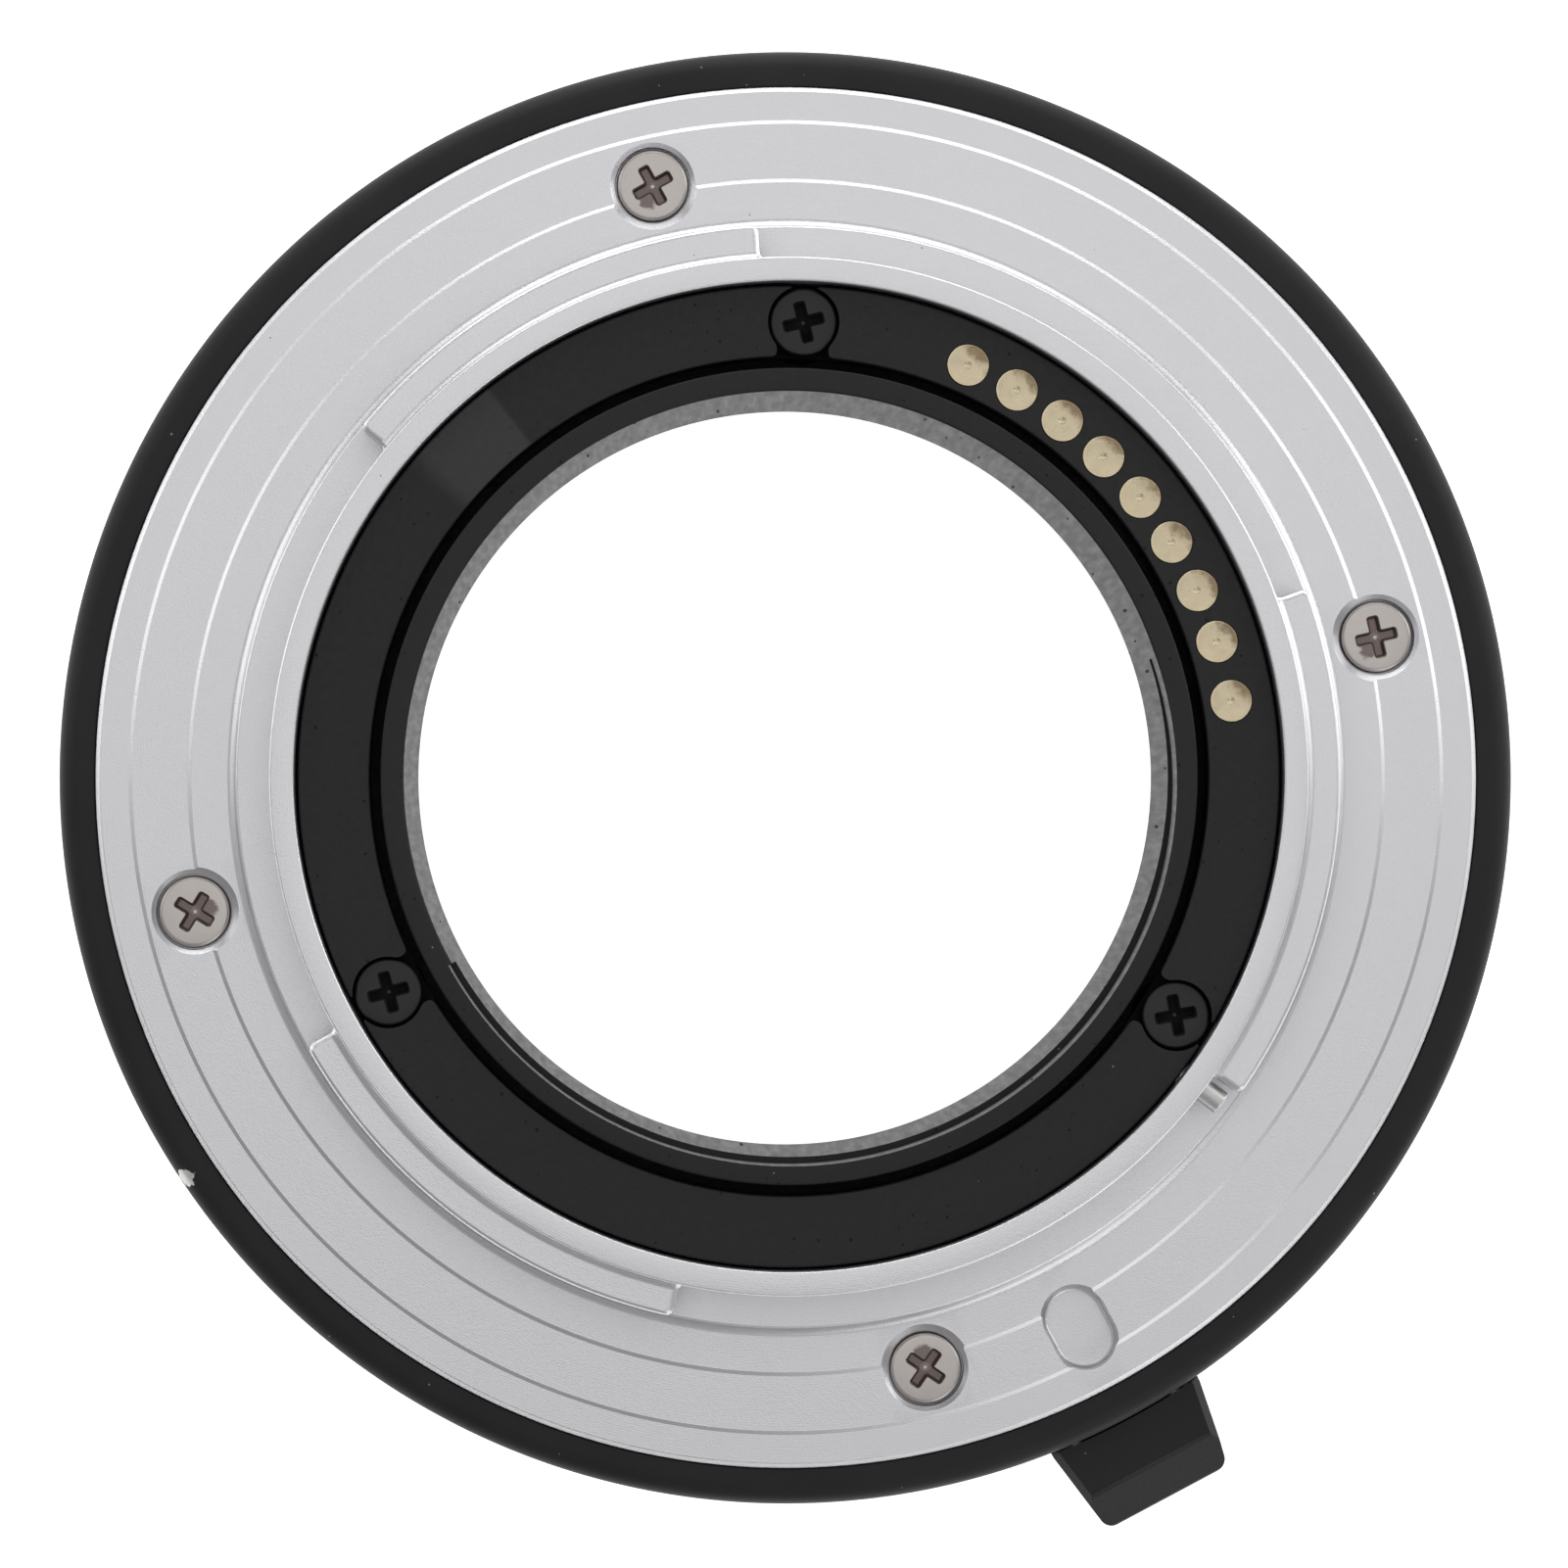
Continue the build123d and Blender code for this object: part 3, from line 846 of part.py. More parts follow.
# A coil round each shoulder screw pushes the lever, and so the lock pin, to the front
lever_coil = coil_spring(LEVER_SPRING_RADIUS, LEVER_SPRING_WIRE, LEVER_SPRING_TURNS, POCKET_ROOF - ARM_REAR)
lever_springs = []
for guide_place in guide_places:
    with BuildPart() as lever_spring:
        with Locations(guide_place * Location((0, 0, ARM_REAR))):
            add(lever_coil)
    lever_springs.append(lever_spring)

# Labels and files
os.makedirs("parts", exist_ok=True)

barrel.part.label = "barrel"
export_step(barrel.part, "parts/barrel.step")
index_dot.part.label = "index_dot"
export_step(index_dot.part, "parts/index_dot.step")
rear_bayonet.part.label = "rear_bayonet"
export_step(rear_bayonet.part, "parts/rear_bayonet.step")
stop_pin.part.label = "stop_pin"
export_step(stop_pin.part, "parts/stop_pin.step")
rear_mount_screws.part.label = "rear_mount_screws"
export_step(rear_mount_screws.part, "parts/rear_mount_screws.step")
front_bayonet.part.label = "front_bayonet"
export_step(front_bayonet.part, "parts/front_bayonet.step")
front_mount_screws.part.label = "front_mount_screws"
export_step(front_mount_screws.part, "parts/front_mount_screws.step")
bayonet_spring.part.label = "bayonet_spring"
export_step(bayonet_spring.part, "parts/bayonet_spring.step")
light_baffle.part.label = "light_baffle"
export_step(light_baffle.part, "parts/light_baffle.step")
contact_plate.part.label = "contact_plate"
export_step(contact_plate.part, "parts/contact_plate.step")
contact_plate_screws.part.label = "contact_plate_screws"
export_step(contact_plate_screws.part, "parts/contact_plate_screws.step")
pin_block.part.label = "pin_block"
export_step(pin_block.part, "parts/pin_block.step")
pin_block_screws.part.label = "pin_block_screws"
export_step(pin_block_screws.part, "parts/pin_block_screws.step")
flex_circuit.part.label = "flex_circuit"
export_step(flex_circuit.part, "parts/flex_circuit.step")
release_lever.part.label = "release_lever"
export_step(release_lever.part, "parts/release_lever.step")
lock_pin.part.label = "lock_pin"
export_step(lock_pin.part, "parts/lock_pin.step")
lever_guide_screws.part.label = "lever_guide_screws"
export_step(lever_guide_screws.part, "parts/lever_guide_screws.step")

numbered_parts = {
    "contact_pad": contact_pads,
    "contact_pin": contact_pins,
    "pin_spring": pin_springs,
    "lever_spring": lever_springs,
}
for family, pieces in numbered_parts.items():
    for number, piece in enumerate(pieces, start=1):
        piece.part.label = f"{family}_{number}"
        export_step(piece.part, f"parts/{family}_{number}.step")
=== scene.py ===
"""Looks of the macro extension tube: finely turned meshes, finishes, studio light and camera.

Lengths are in millimetres from the optical axis and the front flange, and become metres when a mesh is made.
Angles are in degrees, anticlockwise from +X as seen from the side that faces the camera body.
"""

import json
import logging
from collections.abc import Callable, Sequence
from dataclasses import dataclass
from enum import Enum

import bpy
import numpy as np
from mathutils import Matrix, Vector


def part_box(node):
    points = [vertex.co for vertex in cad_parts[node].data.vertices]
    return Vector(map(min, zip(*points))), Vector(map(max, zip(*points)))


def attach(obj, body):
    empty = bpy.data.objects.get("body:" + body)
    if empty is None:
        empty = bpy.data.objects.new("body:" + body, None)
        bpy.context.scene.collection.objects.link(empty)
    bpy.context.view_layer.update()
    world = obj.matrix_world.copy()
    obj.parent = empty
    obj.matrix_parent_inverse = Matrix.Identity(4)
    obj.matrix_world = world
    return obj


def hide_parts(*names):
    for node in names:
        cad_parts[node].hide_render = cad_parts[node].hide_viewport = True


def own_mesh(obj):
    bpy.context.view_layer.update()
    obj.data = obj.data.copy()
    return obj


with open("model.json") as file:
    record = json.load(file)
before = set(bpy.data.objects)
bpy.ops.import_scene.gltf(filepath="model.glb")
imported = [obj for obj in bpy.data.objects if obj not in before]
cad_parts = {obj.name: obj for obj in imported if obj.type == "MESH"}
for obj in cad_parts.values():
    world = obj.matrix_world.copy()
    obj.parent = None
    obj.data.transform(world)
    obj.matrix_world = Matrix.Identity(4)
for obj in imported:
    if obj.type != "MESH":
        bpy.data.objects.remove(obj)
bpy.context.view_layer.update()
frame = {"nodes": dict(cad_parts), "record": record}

Array = np.ndarray
Colour = tuple[float, float, float, float]
Corner = tuple[float, float] | tuple[float, float, float]

log = logging.getLogger("extension_tube")

MM = 0.001
TURNED_SEGMENTS = 360
SMALL_SEGMENTS = 72
PIN_SEGMENTS = 48
POCKET_SEGMENTS = 96
CHAMBER_SEGMENTS = 36
ARC_STEP = 11.25
SHARP_ANGLE = 27.0
OVERRUN = 1.0  # how far a tool reaches beyond what it cuts
CORE = 0.02  # radius of the flat ends, at the axis, of a profile that doesn't close on itself
CHART = "chart"
MARK = 1000.0  # how far the chart of a marked form is moved aside


# Outlines


def polar(radius: float, angle: float | Array) -> Array:
    """Points at a radius and one or more angles in degrees: (radius cos, radius sin) along the last axis."""
    turn = np.radians(angle)
    return np.stack((radius * np.cos(turn), radius * np.sin(turn)), axis=-1)


def arc(centre: Sequence[float], radius: float, start: float, end: float, step: float = ARC_STEP) -> Array:
    """Points on a circle from one angle to another, both ends among them, at most a step apart."""
    count = max(2, int(np.ceil(abs(end - start) / step - 1e-9)) + 1)
    return np.asarray(centre) + polar(radius, np.linspace(start, end, count))


def rounded(corners: Sequence[Corner]) -> Array:
    """Closed outline with its corners rounded.

    An arc of radius R touches both sides R / tan(half the corner's angle) from the corner. Its centre lies
    R / sin(half that angle) away on the bisector.

    Args:
        corners: For each corner x, y and the radius of its arc, which a sharp one doesn't have.

    Returns:
        The outline's points, in order.
    """
    parts = []
    for number, (x, y, *more) in enumerate(corners):
        corner, radius = np.array((x, y)), sum(more)
        if radius == 0:
            parts.append(corner[None])
            continue
        sides = np.array((corners[number - 1][:2], corners[(number + 1) % len(corners)][:2])) - corner
        sides /= np.linalg.norm(sides, axis=1)[:, None]
        half = np.arccos(np.clip(sides[0] @ sides[1], -1, 1)) / 2
        bisector = sides.sum(axis=0) / np.linalg.norm(sides.sum(axis=0))
        centre = corner + bisector * radius / np.sin(half)
        touches = corner + sides * radius / np.tan(half) - centre
        start, end = np.degrees(np.arctan2(touches[:, 1], touches[:, 0]))
        sweep = (end - start + 180) % 360 - 180
        parts.append(arc(centre, radius, start, start + sweep))
    return np.vstack(parts)


def oblong(inner: float, outer: float, width: float, corner: float = 0.0) -> Array:
    """Closed outline of a rectangle from inner to outer along x and half its width each side of it."""
    ends = ((inner, -1), (outer, -1), (outer, 1), (inner, 1))
    return rounded([(x, side * width / 2, corner) for x, side in ends])


def outward_ways(outline: Array) -> Array:
    """Mitred ways out of a closed outline, so that a step of 1 along them moves each side out by 1.

    With n and m the normals of the two sides at a point, the way is (n + m) / (1 + n . m).

    Args:
        outline: The outline's points, either way round.

    Returns:
        One way for each point.
    """
    after = np.roll(outline, -1, axis=0) - outline
    area = np.sum(outline[:, 0] * np.roll(outline[:, 1], -1) - outline[:, 1] * np.roll(outline[:, 0], -1))
    normal = np.stack((after[:, 1], -after[:, 0]), axis=-1) * np.sign(area)
    normal /= np.linalg.norm(normal, axis=1)[:, None]
    before = np.roll(normal, 1, axis=0)
    return (normal + before) / (1 + np.sum(normal * before, axis=1))[:, None]


def sector_end(inner: float, outer: float, inner_corner: float, outer_corner: float) -> Array:
    """Rounded end of a band between two radii, with x along the radius, from inside to outside.

    A corner's centre lies one corner radius into the band, at inner + corner or outer - corner from the axis.

    Args:
        inner: Inner radius of the band.
        outer: Outer radius of the band.
        inner_corner: Radius of the two corners at the inner radius.
        outer_corner: Radius of the two corners at the outer radius.

    Returns:
        The points of the end at angle 0, with the band on the side of +y.
    """
    def corner_arc(corner: float, reach: float, at_inside: bool) -> Array:
        """One corner of the end, or a single point where it isn't rounded."""
        if corner == 0:
            return np.array(((reach, 0.0),))
        middle = np.array((np.sqrt(reach**2 - corner**2), corner))
        lean = np.degrees(np.arctan2(corner, middle[0]))
        return arc(middle, corner, lean + 180, 270) if at_inside else arc(middle, corner, -90, lean)

    inside = corner_arc(inner_corner, inner + inner_corner, at_inside=True)
    return np.vstack((inside, corner_arc(outer_corner, outer - outer_corner, at_inside=False)))


def lug_end(inner: float, tube: float, outer: float, foot: float, corner: float) -> Array:
    """End of a lug that stands on a tube: a concave foot on the tube, a flat end and a rounded outer corner.

    The foot's centre lies outside the lug, one foot radius from its end and tube + foot from the axis.

    Args:
        inner: Radius, inside the tube's wall, where the lug's own solid starts.
        tube: Outer radius of the tube.
        outer: Outer radius of the lug.
        foot: Radius of the concave foot.
        corner: Radius of the outer corner.

    Returns:
        The points of the end at angle 0, with the lug on the side of +y.
    """
    middle = np.array((np.sqrt((tube + foot) ** 2 - foot**2), -foot))
    lean = np.degrees(np.arctan2(-foot, middle[0]))
    root = arc(middle, foot, lean + 180, 90)
    outside = np.array((np.sqrt((outer - corner) ** 2 - corner**2), corner))
    rounding = arc(outside, corner, -90, np.degrees(np.arctan2(corner, outside[0])))
    return np.vstack((polar(inner, lean), root, rounding))


def sector(inner: float, outer: float, start: float, end: float, end_line: Array) -> Array:
    """Closed outline of a band round the axis, with the same end at both sides.

    Args:
        inner: Inner radius.
        outer: Outer radius.
        start: Angle of the first end.
        end: Angle of the second end.
        end_line: Points of one end at angle 0, from inside to outside, with the band on the side of +y.

    Returns:
        The outline's points, in order.
    """
    def turned(points: Array, angle: float) -> Array:
        """The points turned about the axis."""
        cosine, sine = np.cos(np.radians(angle)), np.sin(np.radians(angle))
        return points @ np.array(((cosine, sine), (-sine, cosine)))

    def bearing(point: Array, near: float) -> float:
        """A point's angle, taken within half a turn of a given one."""
        return near + (np.degrees(np.arctan2(point[1], point[0])) - near + 180) % 360 - 180

    first = turned(end_line, start)
    last = turned(end_line * (1, -1), end)[::-1]
    outside = arc((0, 0), outer, bearing(first[-1], start), bearing(last[0], end), 1.0)
    inside = arc((0, 0), inner, bearing(last[-1], end), bearing(first[0], start), 1.0)
    return np.vstack((first, outside[1:-1], last, inside[1:-1]))


# Forms


@dataclass(frozen=True)
class Seat:
    """Where a small form is set: its origin and the ways that its x and y axes point."""

    origin: Array
    x_way: Array
    y_way: Array

    @classmethod
    def level(
        cls, radius: float, angle: float, height: float = 0.0, turn: float = 0.0, facing: int = 1
    ) -> "Seat":
        """Level seat at a polar place, turned from the radius. It faces the rear (1) or the front (-1)."""
        x_way = np.append(polar(1.0, angle + turn), 0.0)
        return cls(np.append(polar(radius, angle), height), x_way, np.cross((0.0, 0.0, facing), x_way))

    @classmethod
    def upright(cls, radius: float, angle: float, height: float) -> "Seat":
        """Seat at a polar place and a height, with its z axis pointing away from the optical axis."""
        across = np.append(polar(1.0, angle + 90), 0.0)
        return cls(np.append(polar(radius, angle), height), across, np.array((0.0, 0.0, 1.0)))

    @classmethod
    def side_on(cls, angle: float) -> "Seat":
        """Seat on the axis whose x runs out along the radius and whose y runs up."""
        return cls(np.zeros(3), np.append(polar(1.0, angle), 0.0), np.array((0.0, 0.0, 1.0)))


@dataclass
class Form:
    """A closed surface in millimetres: points, faces and each point's place on a flat chart of the surface."""

    points: Array
    faces: list[list[int]]
    chart: Array

    @classmethod
    def carried(cls, profile: Array, path: Array, outward: Array, ring: bool, loop: bool) -> "Form":
        """Surface of a profile carried along a path.

        Point (u, v) is path(u) + across(v) * outward(u) + up(v) * Z. Ends that don't close on themselves
        get flat faces, and the faces are turned outwards by the sign of the volume that they enclose.

        Args:
            profile: For each step v, how far across and how far up.
            path: Points of the path, in three dimensions.
            outward: For each point of the path, the way that counts as across.
            ring: Whether the profile closes on itself.
            loop: Whether the path closes on itself.

        Returns:
            The closed surface.
        """
        steps, sides = len(path), len(profile)
        up = np.array((0.0, 0.0, 1.0))
        grid = path[:, None] + profile[None, :, :1] * outward[:, None] + profile[None, :, 1:] * up
        points = grid.reshape(-1, 3)
        index = np.arange(steps * sides).reshape(steps, sides)
        wrapped = np.vstack((index, index[:1])) if loop else index
        wrapped = np.hstack((wrapped, wrapped[:, :1])) if ring else wrapped
        quads = np.stack((wrapped[:-1, :-1], wrapped[1:, :-1], wrapped[1:, 1:], wrapped[:-1, 1:]), axis=-1)
        faces = quads.reshape(-1, 4).tolist()
        if not ring:
            faces += [index[::-1, 0].tolist(), index[:, -1].tolist()]
        if not loop:
            faces += [index[0].tolist(), index[-1, ::-1].tolist()]
        corners = points[quads.reshape(-1, 4)]
        bulk = np.sum(corners[:, 0] * np.cross(corners[:, 1], corners[:, 2]))
        bulk += np.sum(corners[:, 0] * np.cross(corners[:, 2], corners[:, 3]))
        for face in faces[len(corners):]:
            ends = points[face]
            bulk += np.sum(ends[0] * np.cross(ends[1:-1], ends[2:]).sum(axis=0))
        if bulk < 0:
            faces = [face[::-1] for face in faces]
        return cls(points, faces, points[:, :2].copy())

    @classmethod
    def turned(cls, profile: Array, segments: int = TURNED_SEGMENTS, ring: bool = True) -> "Form":
        """Solid of revolution: the profile's radius r and height z give (r cos u, r sin u, z).

        Args:
            profile: Radius and height of each point.
            segments: Points round the axis.
            ring: Whether the profile closes on itself. Where it doesn't, its two ends get flat faces.

        Returns:
            The solid.
        """
        ways = polar(1.0, np.arange(segments) * 360.0 / segments)
        outward = np.hstack((ways, np.zeros((segments, 1))))
        return cls.carried(profile, np.zeros((segments, 3)), outward, ring, loop=True)

    @classmethod
    def spun(cls, corners: Sequence[Corner], segments: int = PIN_SEGMENTS) -> "Form":
        """Solid of revolution with rounded corners, from a profile that starts and ends beside the axis."""
        return cls.turned(rounded(corners), segments, ring=False)

    @classmethod
    def prism(cls, outline: Array, levels: Sequence[tuple[float, float]]) -> "Form":
        """Solid of stacked outlines: point (u, v) is outline(u) - inset(v) * outward(u), at height(v).

        Args:
            outline: Closed outline.
            levels: For each level its inset and its height, from one end to the other.

        Returns:
            The solid, with a flat face at both ends.
        """
        flat = np.zeros((len(outline), 1))
        profile = np.array(levels) * (-1, 1)
        path = np.hstack((outline, flat))
        return cls.carried(profile, path, np.hstack((outward_ways(outline), flat)), ring=False, loop=True)

    @classmethod
    def joined(cls, forms: Sequence["Form"]) -> "Form":
        """Several forms as one."""
        starts = np.cumsum([0] + [len(form.points) for form in forms])
        faces = [
            [int(start) + point for point in face] for form, start in zip(forms, starts) for face in form.faces
        ]
        points = np.vstack([form.points for form in forms])
        return cls(points, faces, np.vstack([form.chart for form in forms]))

    def set_in(self, seat: Seat) -> "Form":
        """The form moved to a seat: origin + x * x_way + y * y_way + z * their cross product."""
        ways = np.stack((seat.x_way, seat.y_way, np.cross(seat.x_way, seat.y_way)))
        return Form(self.points @ ways + seat.origin, self.faces, self.chart)

    def around(
        self, circle: float, angles: Sequence[float], height: float = 0.0, facing: int = 1
    ) -> list["Form"]:
        """Copies of the form in level seats on a circle about the optical axis, one for each angle."""
        return [self.set_in(Seat.level(circle, angle, height, facing=facing)) for angle in angles]

    def marked(self) -> "Form":
        """The form with its chart moved aside, so that a finish can tell what it cuts from the rest."""
        return Form(self.points, self.faces, self.chart + (MARK, 0.0))

    def as_object(self, name: str) -> bpy.types.Object:
        """A mesh object in millimetres, linked to the scene."""
        mesh = bpy.data.meshes.new(name)
        mesh.from_pydata(self.points.tolist(), [], self.faces)
        corners = np.empty(len(mesh.loops), dtype=np.int32)
        mesh.loops.foreach_get("vertex_index", corners)
        mesh.uv_layers.new(name=CHART).data.foreach_set("uv", self.chart[corners].astype(np.float32).ravel())
        made = bpy.data.objects.new(name, mesh)
        bpy.context.scene.collection.objects.link(made)
        return made


def drilled(radius: float, low: float, high: float, segments: int = SMALL_SEGMENTS) -> Form:
    """Plain cylinder about the z axis, for holes."""
    return Form.turned(np.array(((radius, low), (radius, high))), segments, ring=False)


class Working(Enum):
    """How a tool works on a piece."""

    JOIN = "UNION"
    CUT = "DIFFERENCE"
    KEEP = "INTERSECT"


class Workpiece:
    """A piece in the making, in millimetres, that tools work on one after another."""

    def __init__(self, name: str, blank: Form) -> None:
        """Puts the blank on the bench."""
        self.name = name
        self.blank = blank.as_object(f"{name}_blank")
        self.tools: list[bpy.types.Object] = []

    def work(self, working: Working, *tools: Form) -> "Workpiece":
        """Works on the piece with tools that don't touch each other.

        Args:
            working: What the tools do.
            *tools: The tools' forms.

        Returns:
            The workpiece itself.
        """
        tool = Form.joined(tools).as_object(f"{self.name}_tool")
        modifier = self.blank.modifiers.new(working.name.lower(), "BOOLEAN")
        modifier.operation = working.value
        modifier.solver = "EXACT"
        modifier.object = tool
        self.tools.append(tool)
        return self

    def soften(self, width: float, segments: int = 3) -> "Workpiece":
        """Rounds every edge that is sharp by then.

        Args:
            width: Width of the rounding.
            segments: Facets across it.

        Returns:
            The workpiece itself.
        """
        modifier = self.blank.modifiers.new("soften", "BEVEL")
        modifier.width = width
        modifier.segments = segments
        modifier.limit_method = "ANGLE"
        modifier.angle_limit = np.radians(SHARP_ANGLE)
        return self

    def done(self) -> bpy.types.Object:
        """The finished mesh object in metres, smooth apart from its sharp edges. The tools are cleared away."""
        depsgraph = bpy.context.evaluated_depsgraph_get()
        source = self.blank.evaluated_get(depsgraph)
        mesh = bpy.data.meshes.new_from_object(source, preserve_all_data_layers=True, depsgraph=depsgraph)
        for used in (self.blank, *self.tools):
            bpy.data.objects.remove(used)
        points = np.empty(len(mesh.vertices) * 3, dtype=np.float32)
        mesh.vertices.foreach_get("co", points)
        mesh.vertices.foreach_set("co", points * MM)
        mesh.shade_smooth()
        mesh.set_sharp_from_angle(angle=np.radians(SHARP_ANGLE))
        mesh.name = self.name
        made = bpy.data.objects.new(self.name, mesh)
        bpy.context.scene.collection.objects.link(made)
        modifier = made.modifiers.new("even_shading", "WEIGHTED_NORMAL")
        modifier.keep_sharp = True
        return made


# Shader bench


def maths_method(operation: str, reflected: bool = False) -> Callable[["Wire", "Wire | float"], "Wire"]:
    """A method that puts a Math node on a wire and another value.

    Args:
        operation: The node's operation.
        reflected: Whether the other value comes first.

    Returns:
        The method.
    """
    def method(wire: "Wire", other: "Wire | float") -> "Wire":
        """The node's result, on this wire and the other value."""
        first, second = (other, wire) if reflected else (wire, other)
        return wire.bench.maths(operation, first, second)

    return method


class Wire:
    """A number in a shader, which Python's operators can work with."""

    def __init__(self, bench: "Bench", socket: bpy.types.NodeSocket) -> None:
        """Wraps an output socket of the bench's tree."""
        self.bench = bench
        self.socket = socket

    __add__, __radd__ = maths_method("ADD"), maths_method("ADD", reflected=True)
    __sub__, __rsub__ = maths_method("SUBTRACT"), maths_method("SUBTRACT", reflected=True)
    __mul__, __rmul__ = maths_method("MULTIPLY"), maths_method("MULTIPLY", reflected=True)
    __gt__, __lt__ = maths_method("GREATER_THAN"), maths_method("LESS_THAN")


class Bench:
    """A node tree in the making, with the few kinds of node that the finishes share."""

    def __init__(self, owner: bpy.types.Material | bpy.types.World) -> None:
        """Clears the node tree of a material or world."""
        self.owner = owner
        owner.use_nodes = True
        self.tree = owner.node_tree
        self.tree.nodes.clear()

    @classmethod
    def for_material(cls, name: str) -> "Bench":
        """The bench of a new material."""
        return cls(bpy.data.materials.new(name))

    def node(
        self,
        kind: str,
        settings: dict[str, object] | None = None,
        sockets: dict[str | int, object] | None = None,
        output: str | int = 0,
    ) -> Wire:
        """Adds a node.

        Args:
            kind: The node's type.
            settings: Its settings, such as an operation, which are made first.
            sockets: Values or wires for its inputs, by name or number.
            output: The output to hand back, by name or number.

        Returns:
            A wire from that output.
        """
        made = self.tree.nodes.new(kind)
        for name, value in (settings or {}).items():
            setattr(made, name, value)
        for key, value in (sockets or {}).items():
            if isinstance(value, Wire):
                self.tree.links.new(value.socket, made.inputs[key])
            else:
                made.inputs[key].default_value = value
        return Wire(self, made.outputs[output])

    def maths(self, operation: str, first: Wire | float, second: Wire | float = 0.0) -> Wire:
        """A Math node on two values."""
        return self.node("ShaderNodeMath", {"operation": operation}, {0: first, 1: second})

    def vectors(self, operation: str, first: object, second: object, output: str | int = 0) -> Wire:
        """A Vector Math node on two vectors."""
        return self.node("ShaderNodeVectorMath", {"operation": operation}, {0: first, 1: second}, output)

    def place(self) -> Wire:
        """The point's place on the tube, in millimetres."""
        here = self.node("ShaderNodeTexCoord", output="Object")
        return self.vectors("MULTIPLY", here, (1 / MM,) * 3)

    def chart(self) -> Wire:
        """The point's place on its piece's own chart, in millimetres."""
        return self.node("ShaderNodeUVMap", {"uv_map": CHART})

    def marked(self) -> Wire:
        """1 where a marked form has cut the surface, else 0."""
        across, _, _ = self.parts(self.chart())
        return across > MARK / 2

    def parts(self, vector: Wire) -> tuple[Wire, Wire, Wire]:
        """The three numbers of a vector."""
        split = self.node("ShaderNodeSeparateXYZ", sockets={0: vector})
        outputs = split.socket.node.outputs
        return split, Wire(self, outputs[1]), Wire(self, outputs[2])

    def radius(self, x: Wire, y: Wire) -> Wire:
        """Distance from the axis: the root of x squared plus y squared."""
        return self.maths("SQRT", x * x + y * y)

    def ramp(self, value: Wire, low: float, high: float) -> Wire:
        """A soft step from 0 below low to 1 above high, or the other way where low is the larger."""
        settings = {"interpolation_type": "SMOOTHSTEP"}
        ends = {"Value": value, "From Min": min(low, high), "From Max": max(low, high)}
        ends |= {"To Min": float(low > high), "To Max": float(low < high)}
        return self.node("ShaderNodeMapRange", settings, ends)

    def noise(self, place: Wire, size: float, detail: float = 2.0) -> Wire:
        """Soft noise from 0 to 1 with features of a size in millimetres."""
        return self.node("ShaderNodeTexNoise", None, {"Vector": place, "Scale": 1 / size, "Detail": detail})

    def specks(self, place: Wire, spacing: float, radius: float, share: float) -> Wire:
        """Small scattered spots.

        Args:
            place: Where the point is.
            spacing: Size of the cells, each of which may hold a spot.
            radius: Radius of a spot.
            share: Share of the cells that hold one.

        Returns:
            A mask that is 1 in the spots.
        """
        cells = self.node("ShaderNodeTexVoronoi", None, {"Vector": place, "Scale": 1 / spacing})
        colour = Wire(self, cells.socket.node.outputs["Color"])
        chance, size, _ = self.parts(colour)
        reach = (0.35 + 0.65 * size) * (radius / spacing)
        return (chance < share) * (cells < reach)

    def mix(self, factor: Wire | float, first: object, second: object) -> Wire:
        """A colour between two."""
        return self.node("ShaderNodeMix", {"data_type": "RGBA"}, {0: factor, 6: first, 7: second}, 2)

    def shaded(self, colour: Colour, factor: Wire) -> Wire:
        """A colour made lighter or darker by a factor that changes over the surface."""
        scale = self.node("ShaderNodeCombineColor", None, {0: factor, 1: factor, 2: factor})
        settings = {"data_type": "RGBA", "blend_type": "MULTIPLY"}
        return self.node("ShaderNodeMix", settings, {0: 1.0, 6: colour, 7: scale}, 2)

    def bump(self, height: Wire, depth: float) -> Wire:
        """A bumped normal: height runs from 0 to 1 over a depth in millimetres."""
        return self.node("ShaderNodeBump", None, {"Strength": 1.0, "Distance": depth * MM, "Height": height})

    def surface(self, sockets: dict[str, object]) -> bpy.types.Material:
        """Ends the material with one Principled shader, its sockets set or wired by name."""
        self.end(self.node("ShaderNodeBsdfPrincipled", None, sockets))
        return self.owner

    def end(self, shader: Wire, kind: str = "ShaderNodeOutputMaterial") -> None:
        """Links a shader to the tree's output."""
        output = self.tree.nodes.new(kind)
        self.tree.links.new(shader.socket, output.inputs["Surface"])


# Finishes


class Slot(Enum):
    """The record's material slots."""

    BLACK_ANODISED = "black_anodised"
    SATIN_SILVER = "satin_silver"
    NICKEL_SCREW = "nickel_screw"
    BLACK_SCREW = "black_screw"
    STEEL_PIN = "steel_pin"
    SPRING_STEEL = "spring_steel"
    GOLD_CONTACT = "gold_contact"
    BLACK_MOULDING = "black_moulding"
    FLEX_FILM = "flex_film"
    INDEX_WHITE = "index_white"


@dataclass(frozen=True)
class Finish:
    """A finish for one of the record's slots, which each kind of finish describes by its shader's sockets."""

    def sockets(self, bench: Bench, place: Wire) -> dict[str, object]:
        """Values or wires for the Principled shader, by name, at a place on the tube."""
        raise NotImplementedError

    def material(self) -> bpy.types.Material:
        """The finish as a material."""
        bench = Bench.for_material(self.slot.value)
        return bench.surface(self.sockets(bench, bench.place()))


